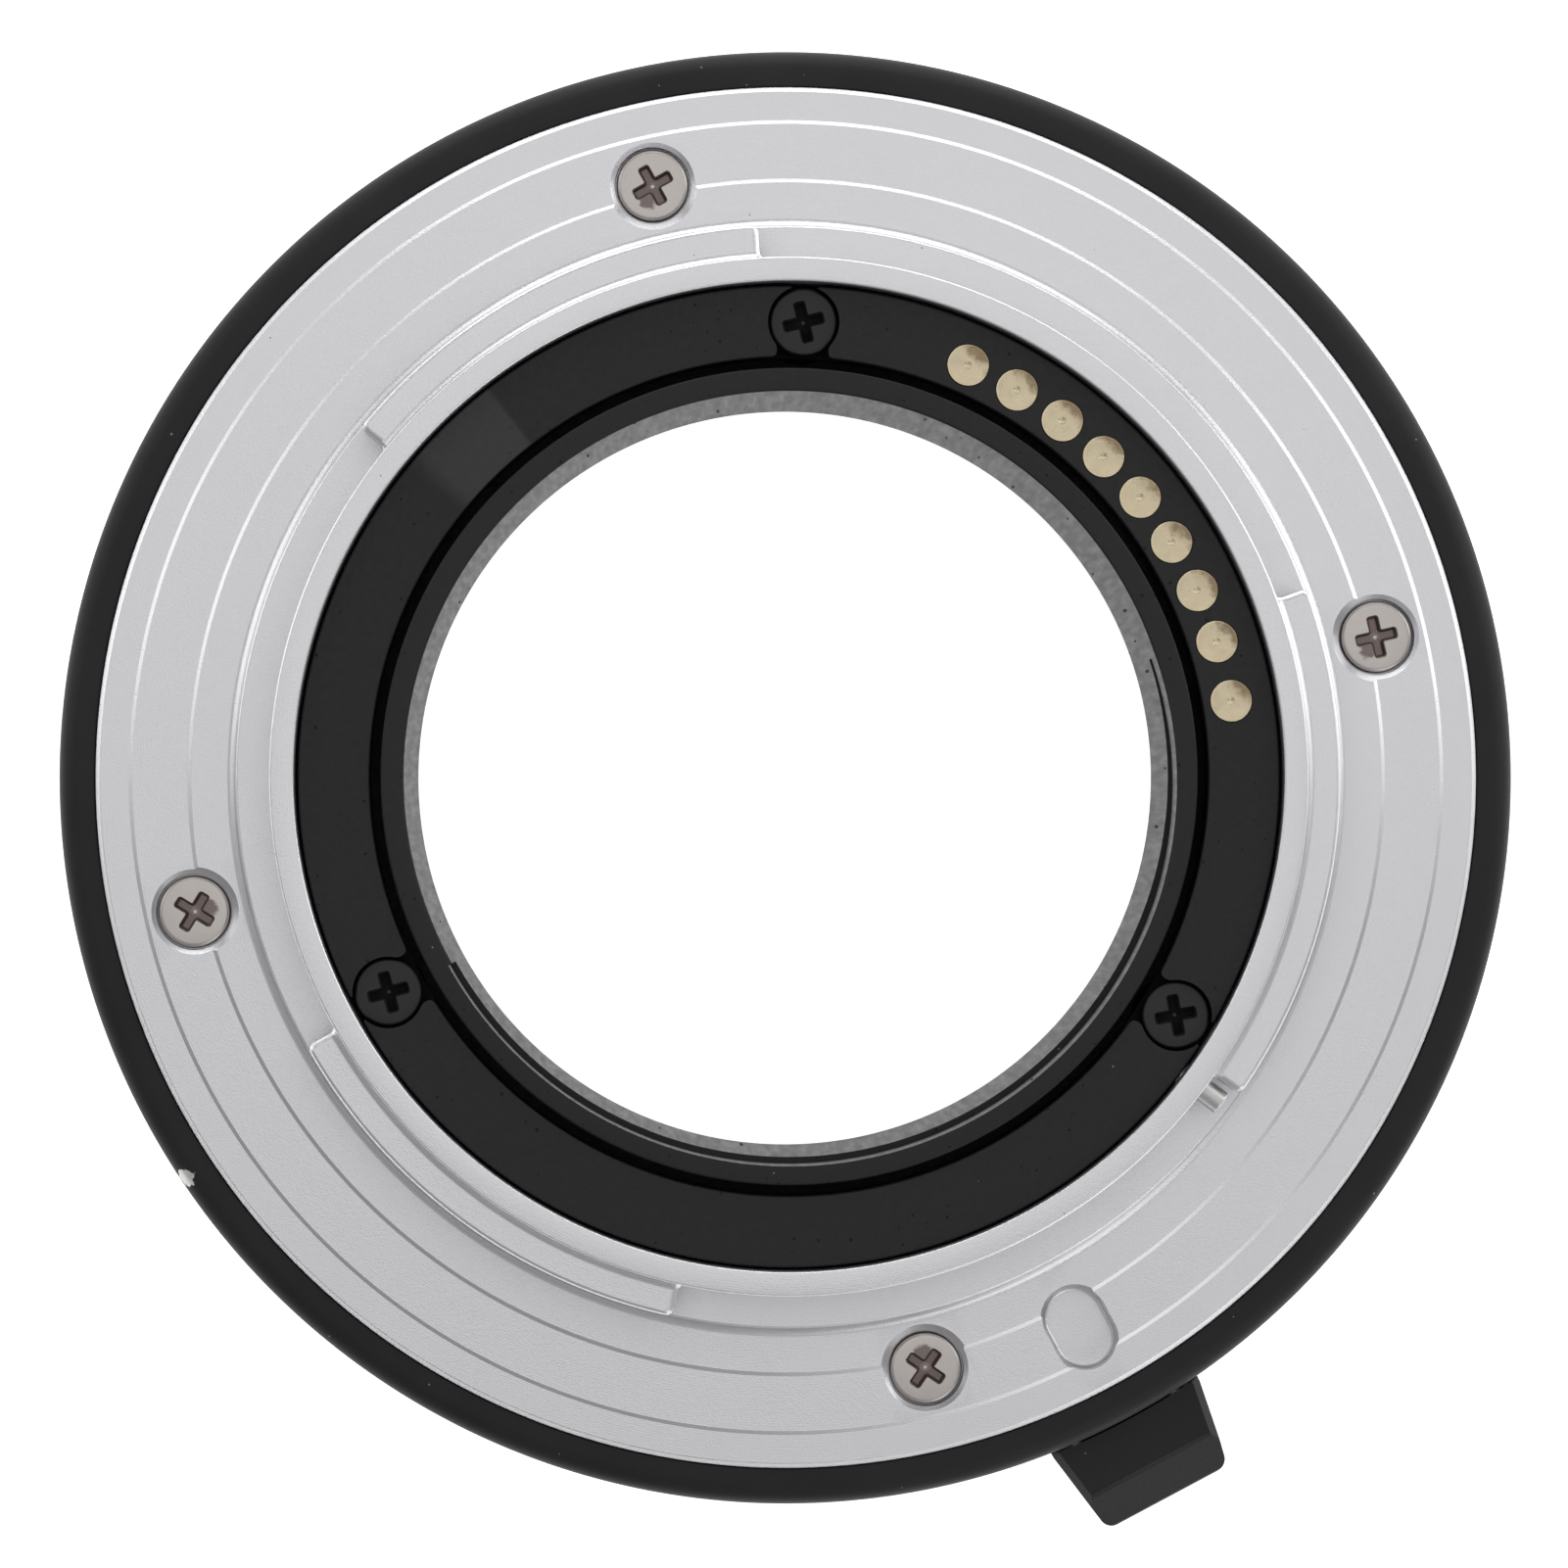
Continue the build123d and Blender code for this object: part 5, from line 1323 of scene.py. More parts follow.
    def build(self, finishing: Finishing) -> None:
        """Makes the mount, its screws and the stop pin."""
        datum = self.datum
        cuts = self.screw_pocket().around(datum.screw_circle, datum.rear_screw_angles, datum.flange)
        cuts.append(self.lock_recess().set_in(Seat.level(datum.lock_circle, datum.lock_angle, datum.flange)))
        stop_seat = Seat.upright(self.tube_bore, self.stop_angle, self.stop_height)
        cuts.append(drilled(self.stop_radius, -OVERRUN, 3.0, PIN_SEGMENTS).set_in(stop_seat))
        work = Workpiece("turned_rear_bayonet", self.turned_blank())
        work.work(Working.JOIN, *self.lugs()).work(Working.JOIN, *self.lug_roots()).work(Working.CUT, *cuts)
        finishing.dress(work.done(), Slot.SATIN_SILVER, "tube", "rear_bayonet")
        face = datum.flange - (self.pocket_depth - MOUNT_SCREW.head_height)
        angles = datum.rear_screw_angles
        screws = MOUNT_SCREW.set_of("rear_cross_screws", datum.screw_circle, face, angles, self.screw_turns)
        finishing.dress(screws, Slot.NICKEL_SCREW, "tube", "rear_mount_screws")
        reach = self.stop_reach - self.tube_bore
        stop = Form.spun((
            (CORE, 0.1),
            (self.stop_radius, 0.1),
            (self.stop_radius, reach, 0.12),
            (CORE, reach),
        ))
        finishing.make("ground_stop_pin", stop.set_in(stop_seat), Slot.STEEL_PIN, "tube", "stop_pin")


@dataclass
class ContactRing:
    """The black ring inside the tube: plate with keyhole pockets, its screws and the nine gold pads."""

    datum: Datum
    inner_radius: float = 17.25
    edge: float = 0.11
    pocket_radius: float = 1.58
    pocket_depth: float = 1.1
    nose_radius: float = 0.35
    screw_turns: tuple[float, ...] = (-74.5, -13.3, 42.2)
    pad_radius: float = 0.865
    pad_thickness: float = 0.45
    pad_proud: float = 0.04
    pad_clearance: float = 0.02
    pad_edge: float = 0.045
    dish_rim: float = 0.93
    dish_depth: float = 0.035
    dimple_radius: float = 0.13
    stem_radius: float = 0.4
    stem_end: float = -1.74

    def keyhole(self) -> Array:
        """Outline of a pocket about its screw, open towards the axis between two rounded noses.

        A nose's centre C lies pocket + nose from the screw and inner + nose from the axis. The law of cosines
        then gives the angle at the screw between the axis and C.

        Returns:
            The closed outline, with x along the radius.
        """
        away, nose = self.datum.plate_screw_circle, self.nose_radius
        near, far = self.pocket_radius + nose, self.inner_radius + nose
        spread = np.degrees(np.arccos((away**2 + near**2 - far**2) / (2 * away * near)))
        centre = polar(near, 180 - spread)
        to_axis = np.degrees(np.arctan2(-centre[1], -away - centre[0])) % 360
        round_part = arc((0, 0), self.pocket_radius, spread - 180, 180 - spread, 5.0)
        upper = arc(centre, nose, 360 - spread, to_axis)
        lip = upper[-1] + (-OVERRUN, 0.0)
        lower = upper[::-1] * (1, -1)
        return np.vstack((round_part[:-1], upper, lip, lip * (1, -1), lower[:-1]))

    def plate(self, finishing: Finishing) -> None:
        """The plate, with pockets for its screws and holes for the pads."""
        datum, edge = self.datum, self.edge
        low, high, outer = datum.plate.low, datum.plate.high, datum.plate.reach
        blank = Form.turned(rounded((
            (self.inner_radius, low),
            (outer, low),
            (outer, high, edge),
            (self.inner_radius, high, edge),
        )))
        bend = arc((-edge, -edge), edge, 0, 90, 30.0) * (-1, 1)
        levels = [(0.0, -self.pocket_depth), *map(tuple, bend), (-edge, OVERRUN)]
        below, hole_radius = -2.5, self.pad_radius + self.pad_clearance
        pad_hole = Form.spun((
            (self.stem_radius, below),
            (self.stem_radius, self.pad_proud - self.pad_thickness),
            (hole_radius, self.pad_proud - self.pad_thickness),
            (hole_radius, OVERRUN),
        ), SMALL_SEGMENTS)
        pocket = Form.prism(self.keyhole(), levels).marked()
        shank = drilled(PLATE_SCREW.shank_radius + datum.fit_gap, below, -0.8)
        pockets = pocket.around(datum.plate_screw_circle, datum.plate_screw_angles, high)
        pockets += pad_hole.around(datum.contact_circle, datum.contact_angles(), high)
        shanks = shank.around(datum.plate_screw_circle, datum.plate_screw_angles, high)
        work = Workpiece("moulded_contact_plate", blank)
        work.work(Working.CUT, *pockets).work(Working.CUT, *shanks)
        finishing.dress(work.done(), Slot.BLACK_MOULDING, "tube", "contact_plate")

    def pad(self) -> Form:
        """One pad: a slightly dished head with a rounded rim and a middle dimple, on a stem."""
        radius, foot, end, edge = self.pad_radius, -self.pad_thickness, self.stem_end, self.pad_edge
        dish = np.linspace(self.dish_rim * radius, self.dimple_radius, 9)
        sunk = self.dish_depth * (1 - (dish / dish[0]) ** 2)
        profile = np.vstack((
            ((CORE, end), (self.stem_radius, end), (self.stem_radius, foot), (radius, foot)),
            arc((radius - edge, -edge), edge, 0, 90, 22.5),
            np.stack((dish, -sunk), axis=-1),
            ((0.09, -0.055), (CORE, -0.085)),
        ))
        return Form.turned(profile, SMALL_SEGMENTS, ring=False)

    def build(self, finishing: Finishing) -> None:
        """Makes the plate, its screws and the pads."""
        datum = self.datum
        self.plate(finishing)
        face = datum.plate.high - self.pocket_depth + PLATE_SCREW.head_height
        circle, angles = datum.plate_screw_circle, datum.plate_screw_angles
        screws = PLATE_SCREW.set_of("black_cross_screws", circle, face, angles, self.screw_turns)
        finishing.dress(screws, Slot.BLACK_SCREW, "tube", "contact_plate_screws")
        for number, angle in enumerate(datum.contact_angles(), start=1):
            seat = Seat.level(datum.contact_circle, angle, datum.plate.high + self.pad_proud, -angle)
            pad, node = self.pad().set_in(seat), f"contact_pad_{number}"
            finishing.make(f"gold_pad_{number}", pad, Slot.GOLD_CONTACT, "tube", node)


@dataclass
class LightBaffle:
    """The inner black tube with its flange and posts, and the circuit behind it."""

    datum: Datum
    front_bore: float = 15.57
    rear_bore: float = 15.84
    tube_radius: float = 16.8
    edge: float = 0.1
    rebate_depth: float = 0.17
    rebate_length: float = 2.8
    rebate_arc: tuple[float, float] = (209.0, 378.0)
    rebate_taper: float = 36.0

    def rebate(self) -> Array:
        """Outline of the shallow rebate in the bore: radius(a) = bore + depth * min(1, (end - a) / taper)."""
        angles = np.linspace(*self.rebate_arc, 140)
        depth = self.rebate_depth * np.clip((self.rebate_arc[1] - angles) / self.rebate_taper, 0.0, 1.0)
        outer = polar(1.0, angles) * (self.rear_bore + 0.01 + depth)[:, None]
        return np.vstack((outer, polar(self.front_bore - OVERRUN, angles[::-1])))

    def build(self, finishing: Finishing) -> None:
        """Makes the baffle and paints the circuit."""
        datum = self.datum
        floor, rear, front = datum.rear.low, datum.baffle.high, datum.baffle.low
        flange = floor - datum.baffle_flange
        blank = Form.turned(rounded((
            (self.front_bore, front, self.edge),
            (self.tube_radius, front),
            (self.tube_radius, flange),
            (datum.baffle.reach, flange),
            (datum.baffle.reach, floor),
            (self.tube_radius, floor),
            (self.tube_radius, rear, self.edge),
            (self.rear_bore, rear, self.edge),
        )))
        top = datum.plate.low
        post = drilled(PLATE_SCREW.head_radius, floor - 0.5, top)
        hole = drilled(PLATE_SCREW.shank_radius, top - PLATE_SCREW.shank_length, top + OVERRUN)
        posts = post.around(datum.plate_screw_circle, datum.plate_screw_angles)
        holes = hole.around(datum.plate_screw_circle, datum.plate_screw_angles)
        cut = Form.prism(self.rebate(), ((0, rear - self.rebate_length), (0, rear + OVERRUN)))
        work = Workpiece("moulded_baffle", blank).work(Working.JOIN, *posts).work(Working.CUT, *holes, cut)
        finishing.dress(work.done(), Slot.BLACK_MOULDING, "tube", "light_baffle")
        finishing.paint_node("flex_circuit", Slot.FLEX_FILM)


@dataclass
class FrontBayonet:
    """The female mount at the front: flange ring, three tabs, the leaf spring behind them and four screws."""

    datum: Datum
    thickness: float = 1.6
    bevel: float = 0.2
    edge: float = 0.08
    throat_depth: float = 0.95
    relief_radius: float = 23.35
    collar_radius: float = 24.2
    tab_radius: float = 21.65
    tab_thickness: float = 1.25
    tab_margin: float = 4.5
    tab_corner: float = 0.25
    pocket_radius: float = 1.58
    pocket_depth: float = 1.0
    screw_turns: tuple[float, ...] = (25.0, 70.0, 5.0, 40.0)
    lock_hole: float = 1.2
    tongue_inner: float = 21.9
    tongue_outer: float = 22.85
    tongue_corner: float = 0.2
    root_angle: float = 6.0

    def ring(self, finishing: Finishing) -> None:
        """The flange ring with its tabs."""
        datum = self.datum
        blank = Form.turned(rounded((
            (datum.throat_radius, 0.0, self.edge),
            (datum.front.reach, 0.0, self.bevel),
            (datum.front.reach, self.thickness),
            (self.collar_radius, self.thickness),
            (self.collar_radius, datum.front.high),
            (self.relief_radius, datum.front.high),
            (self.relief_radius, self.throat_depth),
            (datum.throat_radius, self.throat_depth),
        )))
        low, high = self.throat_depth, self.throat_depth + self.tab_thickness
        outside = (self.relief_radius + self.collar_radius) / 2
        line = sector_end(self.tab_radius, outside, self.tab_corner, 0.0)
        edge, margin = self.edge, self.tab_margin
        levels = ((edge, low), (0.0, low + edge), (0.0, high - edge), (edge, high))
        tabs = [
            Form.prism(sector(self.tab_radius, outside, start - margin, end + margin, line), levels)
            for start, end in datum.lug_arcs
        ]
        pocket = Form.spun((
            (MOUNT_SCREW.shank_radius, -2 * OVERRUN),
            (MOUNT_SCREW.shank_radius, -self.pocket_depth),
            (self.pocket_radius, -self.pocket_depth),
            (self.pocket_radius, -0.08),
            (self.pocket_radius + 0.2, 0.12),
        ), POCKET_SEGMENTS)
        cuts = pocket.around(datum.screw_circle, datum.front_screw_angles, facing=-1)
        cuts += drilled(self.lock_hole, -OVERRUN, 2.0).around(datum.lock_circle, (datum.lock_angle,))
        work = Workpiece("turned_front_bayonet", blank).work(Working.JOIN, *tabs).work(Working.CUT, *cuts)
        finishing.dress(work.done(), Slot.SATIN_SILVER, "tube", "front_bayonet")

    def leaf(self, finishing: Finishing) -> None:
        """The leaf spring: a thin ring, three roots and three tongues."""
        datum = self.datum
        low, high = datum.leaf.low, datum.leaf.high
        ring = Form.turned(np.array((
            (self.relief_radius, low),
            (self.collar_radius, low),
            (self.collar_radius, high),
            (self.relief_radius, high),
        )))
        levels = ((0.0, low), (0.0, high))
        band, corner = (self.tongue_inner, self.tongue_outer), self.tongue_corner
        root_band = (self.tongue_outer - 0.4, (self.relief_radius + self.collar_radius) / 2)
        tongue_line, root_line = sector_end(*band, corner, corner), sector_end(*root_band, 0.0, 0.0)
        tongues, roots = [], []
        for start, end in datum.lug_arcs:
            tongues.append(Form.prism(sector(*band, start, end, tongue_line), levels))
            root = sector(*root_band, start + 0.5, start + self.root_angle, root_line)
            roots.append(Form.prism(root, levels))
        work = Workpiece("leaf_spring", ring).work(Working.JOIN, *roots).work(Working.JOIN, *tongues)
        finishing.dress(work.done(), Slot.SPRING_STEEL, "tube", "bayonet_spring")

    def build(self, finishing: Finishing) -> None:
        """Makes the ring, the leaf spring and the screws."""
        datum = self.datum
        self.ring(finishing)
        self.leaf(finishing)
        face = self.pocket_depth - MOUNT_SCREW.head_height
        circle, angles = datum.screw_circle, datum.front_screw_angles
        screws = MOUNT_SCREW.set_of("front_cross_screws", circle, face, angles, self.screw_turns, facing=-1)
        finishing.dress(screws, Slot.NICKEL_SCREW, "tube", "front_mount_screws")


@dataclass
class PinBlock:
    """The curved block at the front that holds nine sprung contact pins."""

    datum: Datum
    inner_radius: float = 17.0
    outer_radius: float = 20.0
    start_angle: float = -4.5
    end_angle: float = 80.5
    corner: float = 0.5
    spring_seat: float = 7.2
    collar_seat: float = 5.4
    chamber_radius: float = 0.72
    pin_radius: float = 0.42
    pin_tip: float = 4.15
    pin_tip_fillet: float = 0.3
    pin_collar_radius: float = 0.64
    pin_collar_thickness: float = 0.4
    pin_stem_radius: float = 0.3
    pin_stem_length: float = 0.5
    coil_radius: float = 0.5
    coil_wire: float = 0.12
    flex_radii: tuple[float, float] = (17.5, 19.4)
    flex_arc: tuple[float, float] = (5.0, 71.0)
    screw_angles: tuple[float, float] = (0.0, 76.0)
    screw_turns: tuple[float, float] = (20.0, 20.0)

    def block(self, finishing: Finishing) -> None:
        """The block with its chambers and screw holes."""
        datum, low = self.datum, self.datum.baffle.low
        high = datum.rear.low - datum.baffle_flange
        line = sector_end(self.inner_radius, self.outer_radius, self.corner, self.corner)
        outline = sector(self.inner_radius, self.outer_radius, self.start_angle, self.end_angle, line)
        blank = Form.prism(outline, ((0.1, low), (0.0, low + 0.1), (0.0, high)))
        hole = Form.spun((
            (self.pin_radius + datum.fit_gap, low - OVERRUN),
            (self.pin_radius + datum.fit_gap, self.collar_seat),
            (self.chamber_radius, self.collar_seat),
            (self.chamber_radius, high - 0.1),
        ), CHAMBER_SEGMENTS)
        tools = hole.around(datum.contact_circle, datum.contact_angles())
        head = BLOCK_SCREW.head_radius + datum.fit_gap
        seat_depth = low + BLOCK_SCREW.head_height + 0.1
        screw_hole = Form.spun((
            (head, low - OVERRUN),
            (head, seat_depth),
            (BLOCK_SCREW.shank_radius, seat_depth),
            (BLOCK_SCREW.shank_radius, high + OVERRUN),
        ))
        tools += screw_hole.around(datum.contact_circle, self.screw_angles)
        flex = sector(*self.flex_radii, *self.flex_arc, sector_end(*self.flex_radii, 0.0, 0.0))
        recess = Form.prism(flex, ((0, self.spring_seat), (0, high + 0.5)))
        work = Workpiece("moulded_pin_block", blank).work(Working.CUT, *tools).work(Working.CUT, recess)
        finishing.dress(work.done(), Slot.BLACK_MOULDING, "tube", "pin_block")

    def pin(self) -> Form:
        """One pin: a domed tip, a collar and a stem, standing along the axis at its own height."""
        collar_end = self.collar_seat + self.pin_collar_thickness
        stem_end = collar_end + self.pin_stem_length
        fillet = self.pin_tip_fillet
        tip = arc((self.pin_radius - fillet, self.pin_tip + fillet), fillet, 270, 360)
        profile = np.vstack((
            ((CORE, self.pin_tip),),
            tip,
            (
                (self.pin_radius, self.collar_seat),
                (self.pin_collar_radius, self.collar_seat),
                (self.pin_collar_radius, collar_end),
                (self.pin_stem_radius, collar_end),
                (self.pin_stem_radius, stem_end),
                (CORE, stem_end),
            ),
        ))
        return Form.turned(profile, PIN_SEGMENTS, ring=False)

    def build(self, finishing: Finishing) -> None:
        """Makes the block, its screws, and each pin with the spring behind it."""
        datum = self.datum
        self.block(finishing)
        circle, face = datum.contact_circle, datum.baffle.low + 0.1
        angles, turns = self.screw_angles, self.screw_turns
        screws = BLOCK_SCREW.set_of("block_cross_screws", circle, face, angles, turns, facing=-1)
        finishing.dress(screws, Slot.BLACK_SCREW, "tube", "pin_block_screws")
        spring_low = self.collar_seat + self.pin_collar_thickness
        for number, angle in enumerate(datum.contact_angles(), start=1):
            seat = Seat.level(datum.contact_circle, angle)
            pin, body, node = self.pin().set_in(seat), f"contact_{number}", f"contact_pin_{number}"
            finishing.make(f"gold_pin_{number}", pin, Slot.GOLD_CONTACT, body, node)
            form = coil(self.coil_radius, self.coil_wire, 3, spring_low, self.spring_seat).set_in(seat)
            node = f"pin_spring_{number}"
            spring = finishing.make(f"pin_coil_{number}", form, Slot.SPRING_STEEL, "tube", node)
            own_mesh(spring)


@dataclass
class ReleaseLever:
    """The lever that draws the lock pin: finger tab, neck and arm, with its pin, guide screws and springs."""

    datum: Datum
    tab_base: float = 30.75
    tab_end: float = 34.65
    tab_crease: float = 32.9
    tab_front: float = 2.5
    tab_rear: float = 6.9
    tab_end_rear: float = 5.3
    base_width: float = 7.0
    end_width: float = 5.75
    corner: float = 0.6
    front_chamfer: float = 0.7
    side_chamfer: float = 0.32
    soft_edge: float = 0.12
    arm_low: float = 4.0
    arm_high: float = 5.0
    arm_inner: float = 24.6
    arm_outer: float = 27.8
    arm_length: float = 7.2
    neck_width: float = 4.4
    guide_offset: float = 2.6
    guide_radius: float = 0.5
    guide_head: float = 0.9
    guide_low: float = 3.2
    guide_high: float = 8.25
    pin_radius: float = 1.15
    pin_low: float = -1.2
    rivet_radius: float = 0.75
    coil_radius: float = 0.72
    coil_wire: float = 0.2
    roof: float = 7.9

    def lever(self, finishing: Finishing) -> None:
        """The lever itself: a side outline and a plan outline cross to make the tab, which the arm joins."""
        datum, top = self.datum, self.tab_rear
        radial = Seat.level(0.0, datum.lock_angle)
        side = rounded((
            (self.tab_base - OVERRUN, self.tab_front),
            (self.tab_end - self.front_chamfer, self.tab_front, 0.2),
            (self.tab_end, self.tab_front + self.front_chamfer, 0.2),
            (self.tab_end, self.tab_end_rear, 0.3),
            (self.tab_crease, top, 0.45),
            (self.tab_base - OVERRUN, top),
        ))
        width = self.base_width / 2 + OVERRUN
        tab = Form.prism(side, ((0, -width), (0, width))).marked().set_in(Seat.side_on(datum.lock_angle))
        base, end = self.base_width / 2, self.end_width / 2
        plan = rounded((
            (self.tab_base - 0.5, -base),
            (self.tab_base, -base),
            (self.tab_end, -end, self.corner),
            (self.tab_end, end, self.corner),
            (self.tab_base, base),
            (self.tab_base - 0.5, base),
        ))
        chamfer, brow = self.side_chamfer, top - self.side_chamfer - 0.1
        keep = Form.prism(plan, ((0, 0.0), (0, brow), (chamfer, top), (chamfer, 10.0)))
        keep = keep.marked().set_in(radial)
        bore = drilled(self.tab_base, -OVERRUN, 12.0, TURNED_SEGMENTS)
        half, neck, neck_end = self.arm_length / 2, self.neck_width / 2, self.tab_base + 0.6
        arm = rounded((
            (self.arm_inner, -half, 0.4),
            (self.arm_outer, -half, 0.4),
            (self.arm_outer, -neck, 0.2),
            (neck_end, -neck),
            (neck_end, neck),
            (self.arm_outer, neck, 0.2),
            (self.arm_outer, half, 0.4),
            (self.arm_inner, half, 0.4),
        ))
        arm_form = Form.prism(arm, ((0.0, self.arm_low), (0.0, self.arm_high))).set_in(radial)
        work = Workpiece("black_release_lever", tab)
        work.work(Working.KEEP, keep).work(Working.CUT, bore).soften(self.soft_edge)
        below, above = self.arm_low - OVERRUN, self.arm_high + OVERRUN
        holes = drilled(self.rivet_radius, below, above).around(datum.lock_circle, (datum.lock_angle,))
        guide_hole = drilled(self.guide_radius + datum.fit_gap, below, above)
        holes += [guide_hole.set_in(seat) for seat in self.guide_seats()]
        work.work(Working.JOIN, arm_form).work(Working.CUT, *holes)
        finishing.dress(work.done(), Slot.BLACK_ANODISED, "release", "release_lever")

    def guide_seats(self) -> list[Seat]:
        """Seats of the two guide screws, each side of the lock pin."""
        radial = Seat.level(0.0, self.datum.lock_angle)
        centre, x_way, y_way = radial.x_way * self.datum.lock_circle, radial.x_way, radial.y_way
        return [Seat(centre + y_way * side * self.guide_offset, x_way, y_way) for side in (-1, 1)]

    def build(self, finishing: Finishing) -> None:
        """Makes the lever, the lock pin, the guide screws and the springs round them."""
        datum = self.datum
        self.lever(finishing)
        pin = Form.spun((
            (CORE, self.pin_low),
            (self.pin_radius, self.pin_low, 0.3),
            (self.pin_radius, self.arm_low),
            (self.rivet_radius, self.arm_low),
            (self.rivet_radius, self.arm_high, 0.08),
            (CORE, self.arm_high),
        ), SMALL_SEGMENTS)
        lock = pin.set_in(Seat.level(datum.lock_circle, datum.lock_angle))
        finishing.make("ground_lock_pin", lock, Slot.STEEL_PIN, "release", "lock_pin")
        guide = Form.spun((
            (CORE, self.guide_low),
            (self.guide_head, self.guide_low, 0.1),
            (self.guide_head, self.arm_low),
            (self.guide_radius, self.arm_low),
            (self.guide_radius, self.guide_high),
            (CORE, self.guide_high),
        ))
        slot = Form.prism(oblong(-2.0, 2.0, 0.25), ((0, self.guide_low - 0.5), (0, self.guide_low + 0.3)))
        seats = self.guide_seats()
        guides = Form.joined([guide.set_in(seat) for seat in seats])
        work = Workpiece("slotted_guide_screws", guides)
        work.work(Working.CUT, *(slot.set_in(seat) for seat in seats))
        finishing.dress(work.done(), Slot.NICKEL_SCREW, "tube", "lever_guide_screws")
        for number, seat in enumerate(seats, start=1):
            form = coil(self.coil_radius, self.coil_wire, 4, self.arm_high, self.roof).set_in(seat)
            node = f"lever_spring_{number}"
            spring = finishing.make(f"lever_coil_{number}", form, Slot.SPRING_STEEL, "tube", node)
            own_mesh(spring)


# Studio


def aimed(thing: bpy.types.Object, place: Vector, target: Vector) -> None:
    """Sets a camera or lamp in its place and aims it, with +Y of the tube upwards in its view.

    The columns of its turn are right, up and back, with right = Y x back and up = back x right.

    Args:
        thing: The camera or lamp.
        place: Where it goes, in metres.
        target: What it's aimed at, in metres.
    """
    back = (place - target).normalized()
    right = Vector((0.0, 1.0, 0.0)).cross(back).normalized()
    turn = Matrix((right, back.cross(right), back)).transposed()
    thing.matrix_world = Matrix.Translation(place) @ turn.to_4x4()
    bpy.context.scene.collection.objects.link(thing)


@dataclass(frozen=True)
class Lamp:
    """A soft lamp: where it hangs, its width and height, and how bright its face is, with 1 as white."""

    name: str
    place: tuple[float, float, float]
    size: tuple[float, float]
    brightness: float

    def hang(self, target: Vector) -> None:
        """Hangs the lamp, aimed at a point. A face of area A that shines with radiance L gives pi A L watts."""
        data = bpy.data.lights.new(self.name, "AREA")
        data.shape = "RECTANGLE"
        data.size, data.size_y = (side * MM for side in self.size)
        data.energy = np.pi * data.size * data.size_y * self.brightness
        aimed(bpy.data.objects.new(self.name, data), Vector(self.place) * MM, target)


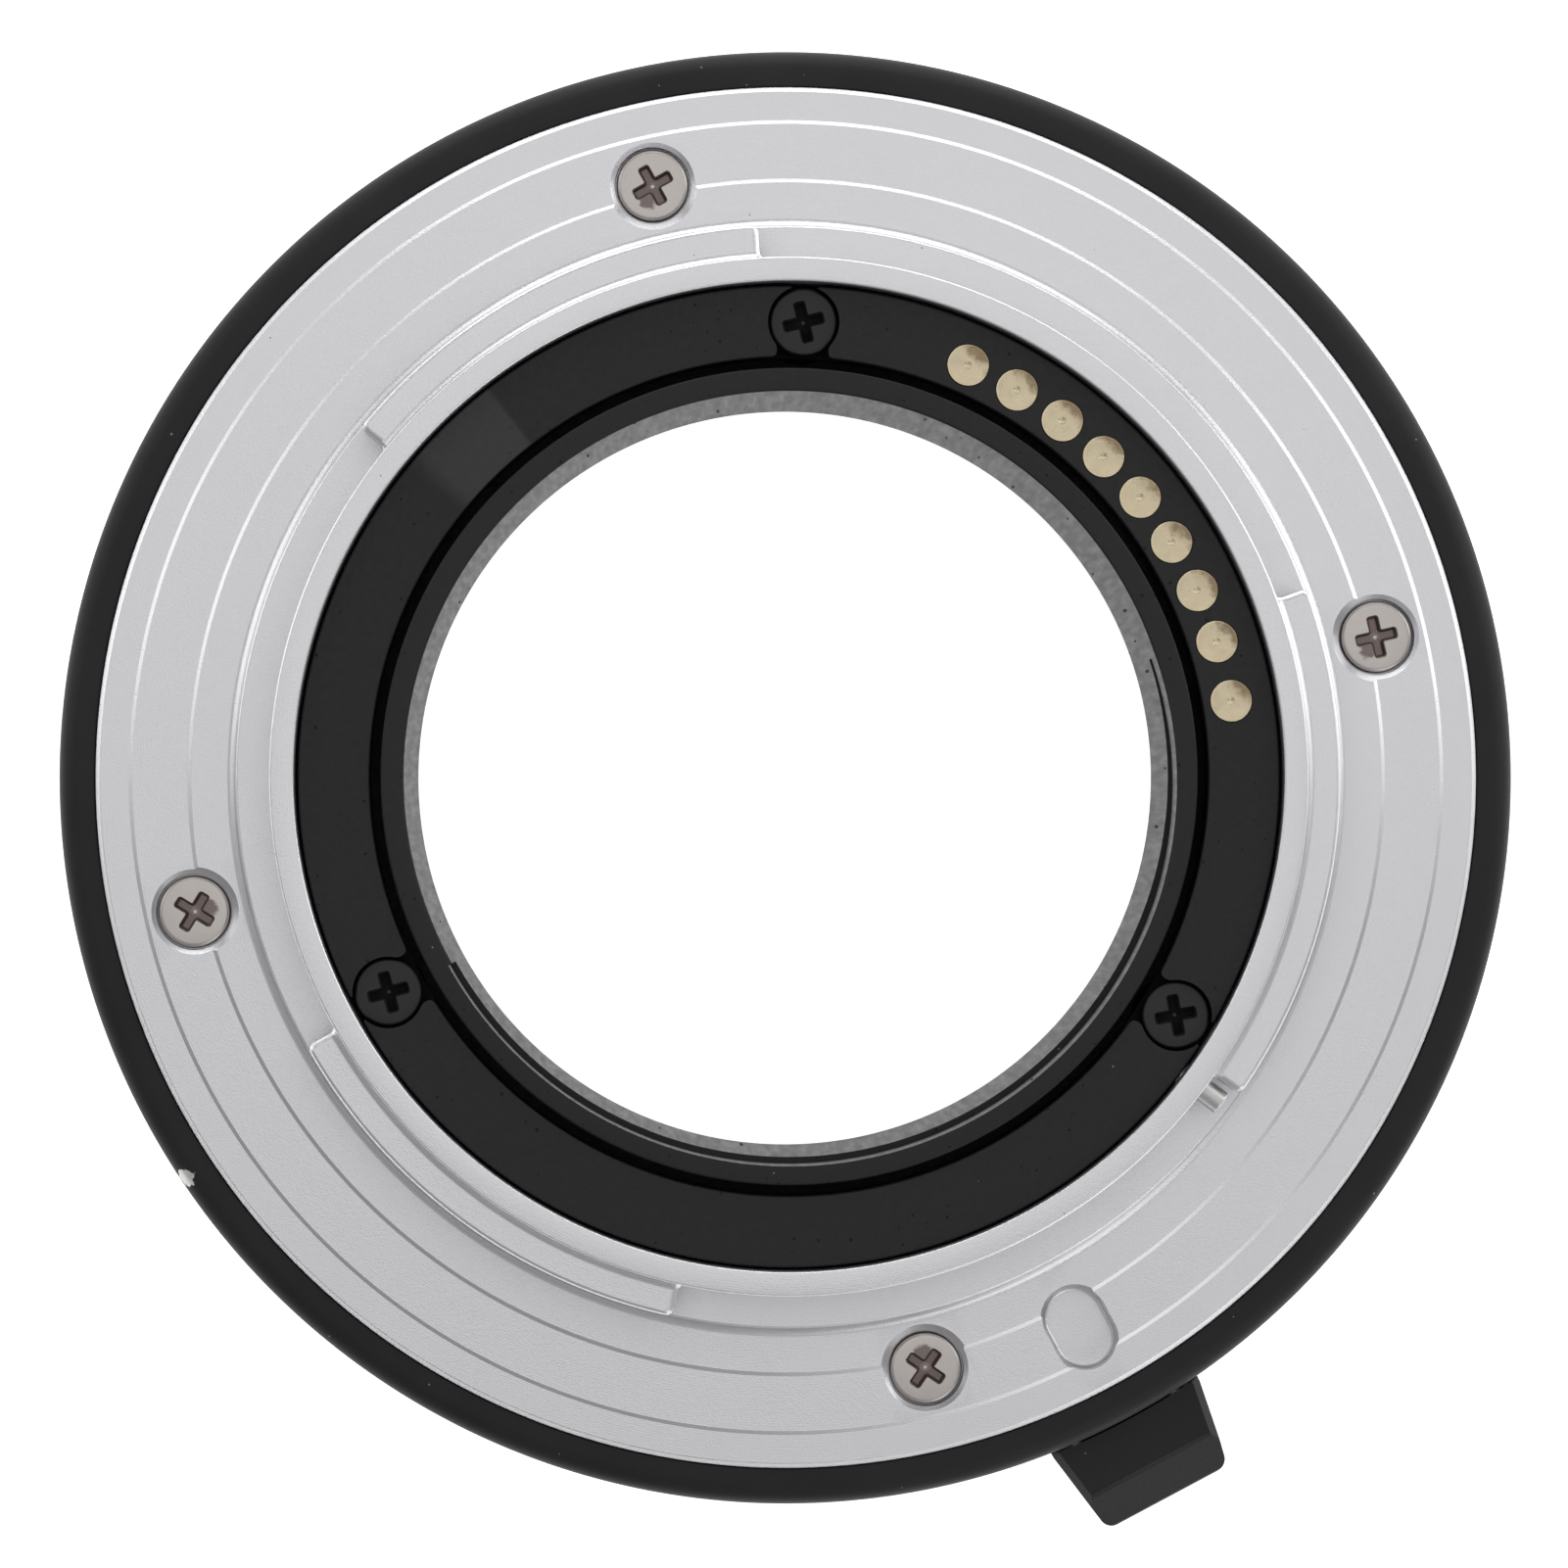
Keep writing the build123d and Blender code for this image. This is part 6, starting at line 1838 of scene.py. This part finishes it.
@dataclass
class Studio:
    """Plain pale floor, soft lamps and the camera at the photograph's angle."""

    datum: Datum
    floor_height: float = -1.2
    floor_half: float = 3000.0
    floor_colour: Colour = (0.93, 0.93, 0.93, 1.0)
    floor_glow: float = 0.88
    ambient: float = 0.4
    lamps: tuple[Lamp, ...] = (
        Lamp("key_lamp", (0, 430, 125), (640, 260), 2.15),
        Lamp("top_lamp", (0, 85, 520), (420, 420), 0.71),
        Lamp("left_lamp", (-415, 150, 125), (560, 240), 1.45),
        Lamp("right_lamp", (410, 155, 125), (610, 260), 1.95),
        Lamp("low_lamp", (210, -330, 420), (200, 200), 1.4),
        Lamp("fill_lamp", (240, -370, 200), (420, 220), 1.0),
    )
    camera_place: tuple[float, float, float] = (-5.5, -2.0, 300.0)
    photo_side: float = 1601.0
    photo_scale: float = 24.43
    axis_pixel: tuple[float, float] = (803.8, 793.5)
    sensor: float = 36.0

    def backdrop_factor(self, bench: Bench) -> Wire:
        """1 for rays that come from the camera, a mirror or a lens, else 0."""
        seen = bench.node("ShaderNodeLightPath", output="Is Camera Ray")
        outputs = seen.socket.node.outputs
        seen = seen + Wire(bench, outputs["Is Glossy Ray"]) + Wire(bench, outputs["Is Transmission Ray"])
        return bench.maths("MINIMUM", seen, 1.0)

    def floor(self) -> None:
        """The floor: pale and matt, nearly white where it is looked at, so that it keeps a soft shadow.

        From below it is clear, so that the front side of the tube can be looked at too.
        """
        reach, height = self.floor_half * MM, self.floor_height * MM
        mesh = bpy.data.meshes.new("floor")
        corners = [(x * reach, y * reach, height) for x, y in ((-1, -1), (1, -1), (1, 1), (-1, 1))]
        mesh.from_pydata(corners, [], [(0, 1, 2, 3)])
        floor = bpy.data.objects.new("floor", mesh)
        bpy.context.scene.collection.objects.link(floor)
        bench = Bench.for_material("floor")
        matt = bench.node("ShaderNodeBsdfDiffuse", None, {"Color": self.floor_colour})
        glow = bench.node("ShaderNodeEmission", None, {"Color": (1.0, 1.0, 1.0, 1.0), "Strength": 1.0})
        dark = bench.node("ShaderNodeEmission", None, {"Strength": 0.0})
        share = self.backdrop_factor(bench) * self.floor_glow
        lit = bench.node("ShaderNodeMixShader", None, {0: share, 1: dark, 2: glow})
        top = bench.node("ShaderNodeAddShader", None, {0: matt, 1: lit})
        clear = bench.node("ShaderNodeBsdfTransparent")
        under = bench.node("ShaderNodeNewGeometry", output="Backfacing")
        bench.end(bench.node("ShaderNodeMixShader", None, {0: under, 1: top, 2: clear}))
        mesh.materials.append(bench.owner)

    def surroundings(self) -> None:
        """The world: an even soft light that looks white."""
        bench = Bench(bpy.data.worlds.new("studio"))
        seen = bench.node("ShaderNodeLightPath", output="Is Camera Ray")
        level = bench.node("ShaderNodeMapRange", None, {"Value": seen, "To Min": self.ambient})
        light = bench.node("ShaderNodeBackground", None, {"Strength": level})
        bench.end(light, "ShaderNodeOutputWorld")
        bpy.context.scene.world = bench.owner

    def camera(self) -> None:
        """The camera, placed so that the optical axis meets the rear flange at its pixel in the photograph."""
        middle = self.photo_side / 2
        aim = Vector((middle - self.axis_pixel[0], self.axis_pixel[1] - middle, 0.0)) / self.photo_scale
        aim.z = self.datum.flange
        place = Vector(self.camera_place)
        data = bpy.data.cameras.new("camera")
        data.sensor_width = self.sensor
        data.lens = self.sensor * (place.z - aim.z) * self.photo_scale / self.photo_side
        data.clip_start, data.clip_end = 0.01, 20.0
        camera = bpy.data.objects.new("camera", data)
        aimed(camera, place * MM, aim * MM)
        bpy.context.scene.camera = camera

    def build(self) -> None:
        """Sets up floor, world, lamps and camera."""
        self.floor()
        self.surroundings()
        for lamp in self.lamps:
            lamp.hang(Vector((0.0, 0.0, self.datum.flange * MM)))
        self.camera()
        bpy.context.scene.view_settings.view_transform = "Standard"


def main() -> None:
    logging.basicConfig(level=logging.INFO, format="%(message)s")
    datum = Datum.from_frame()
    finishing = Finishing()
    for assembly in (Barrel, RearBayonet, ContactRing, LightBaffle, FrontBayonet, PinBlock, ReleaseLever):
        log.info("building %s", assembly.__name__)
        assembly(datum).build(finishing)
    Studio(datum).build()


if __name__ == "__main__":
    main()
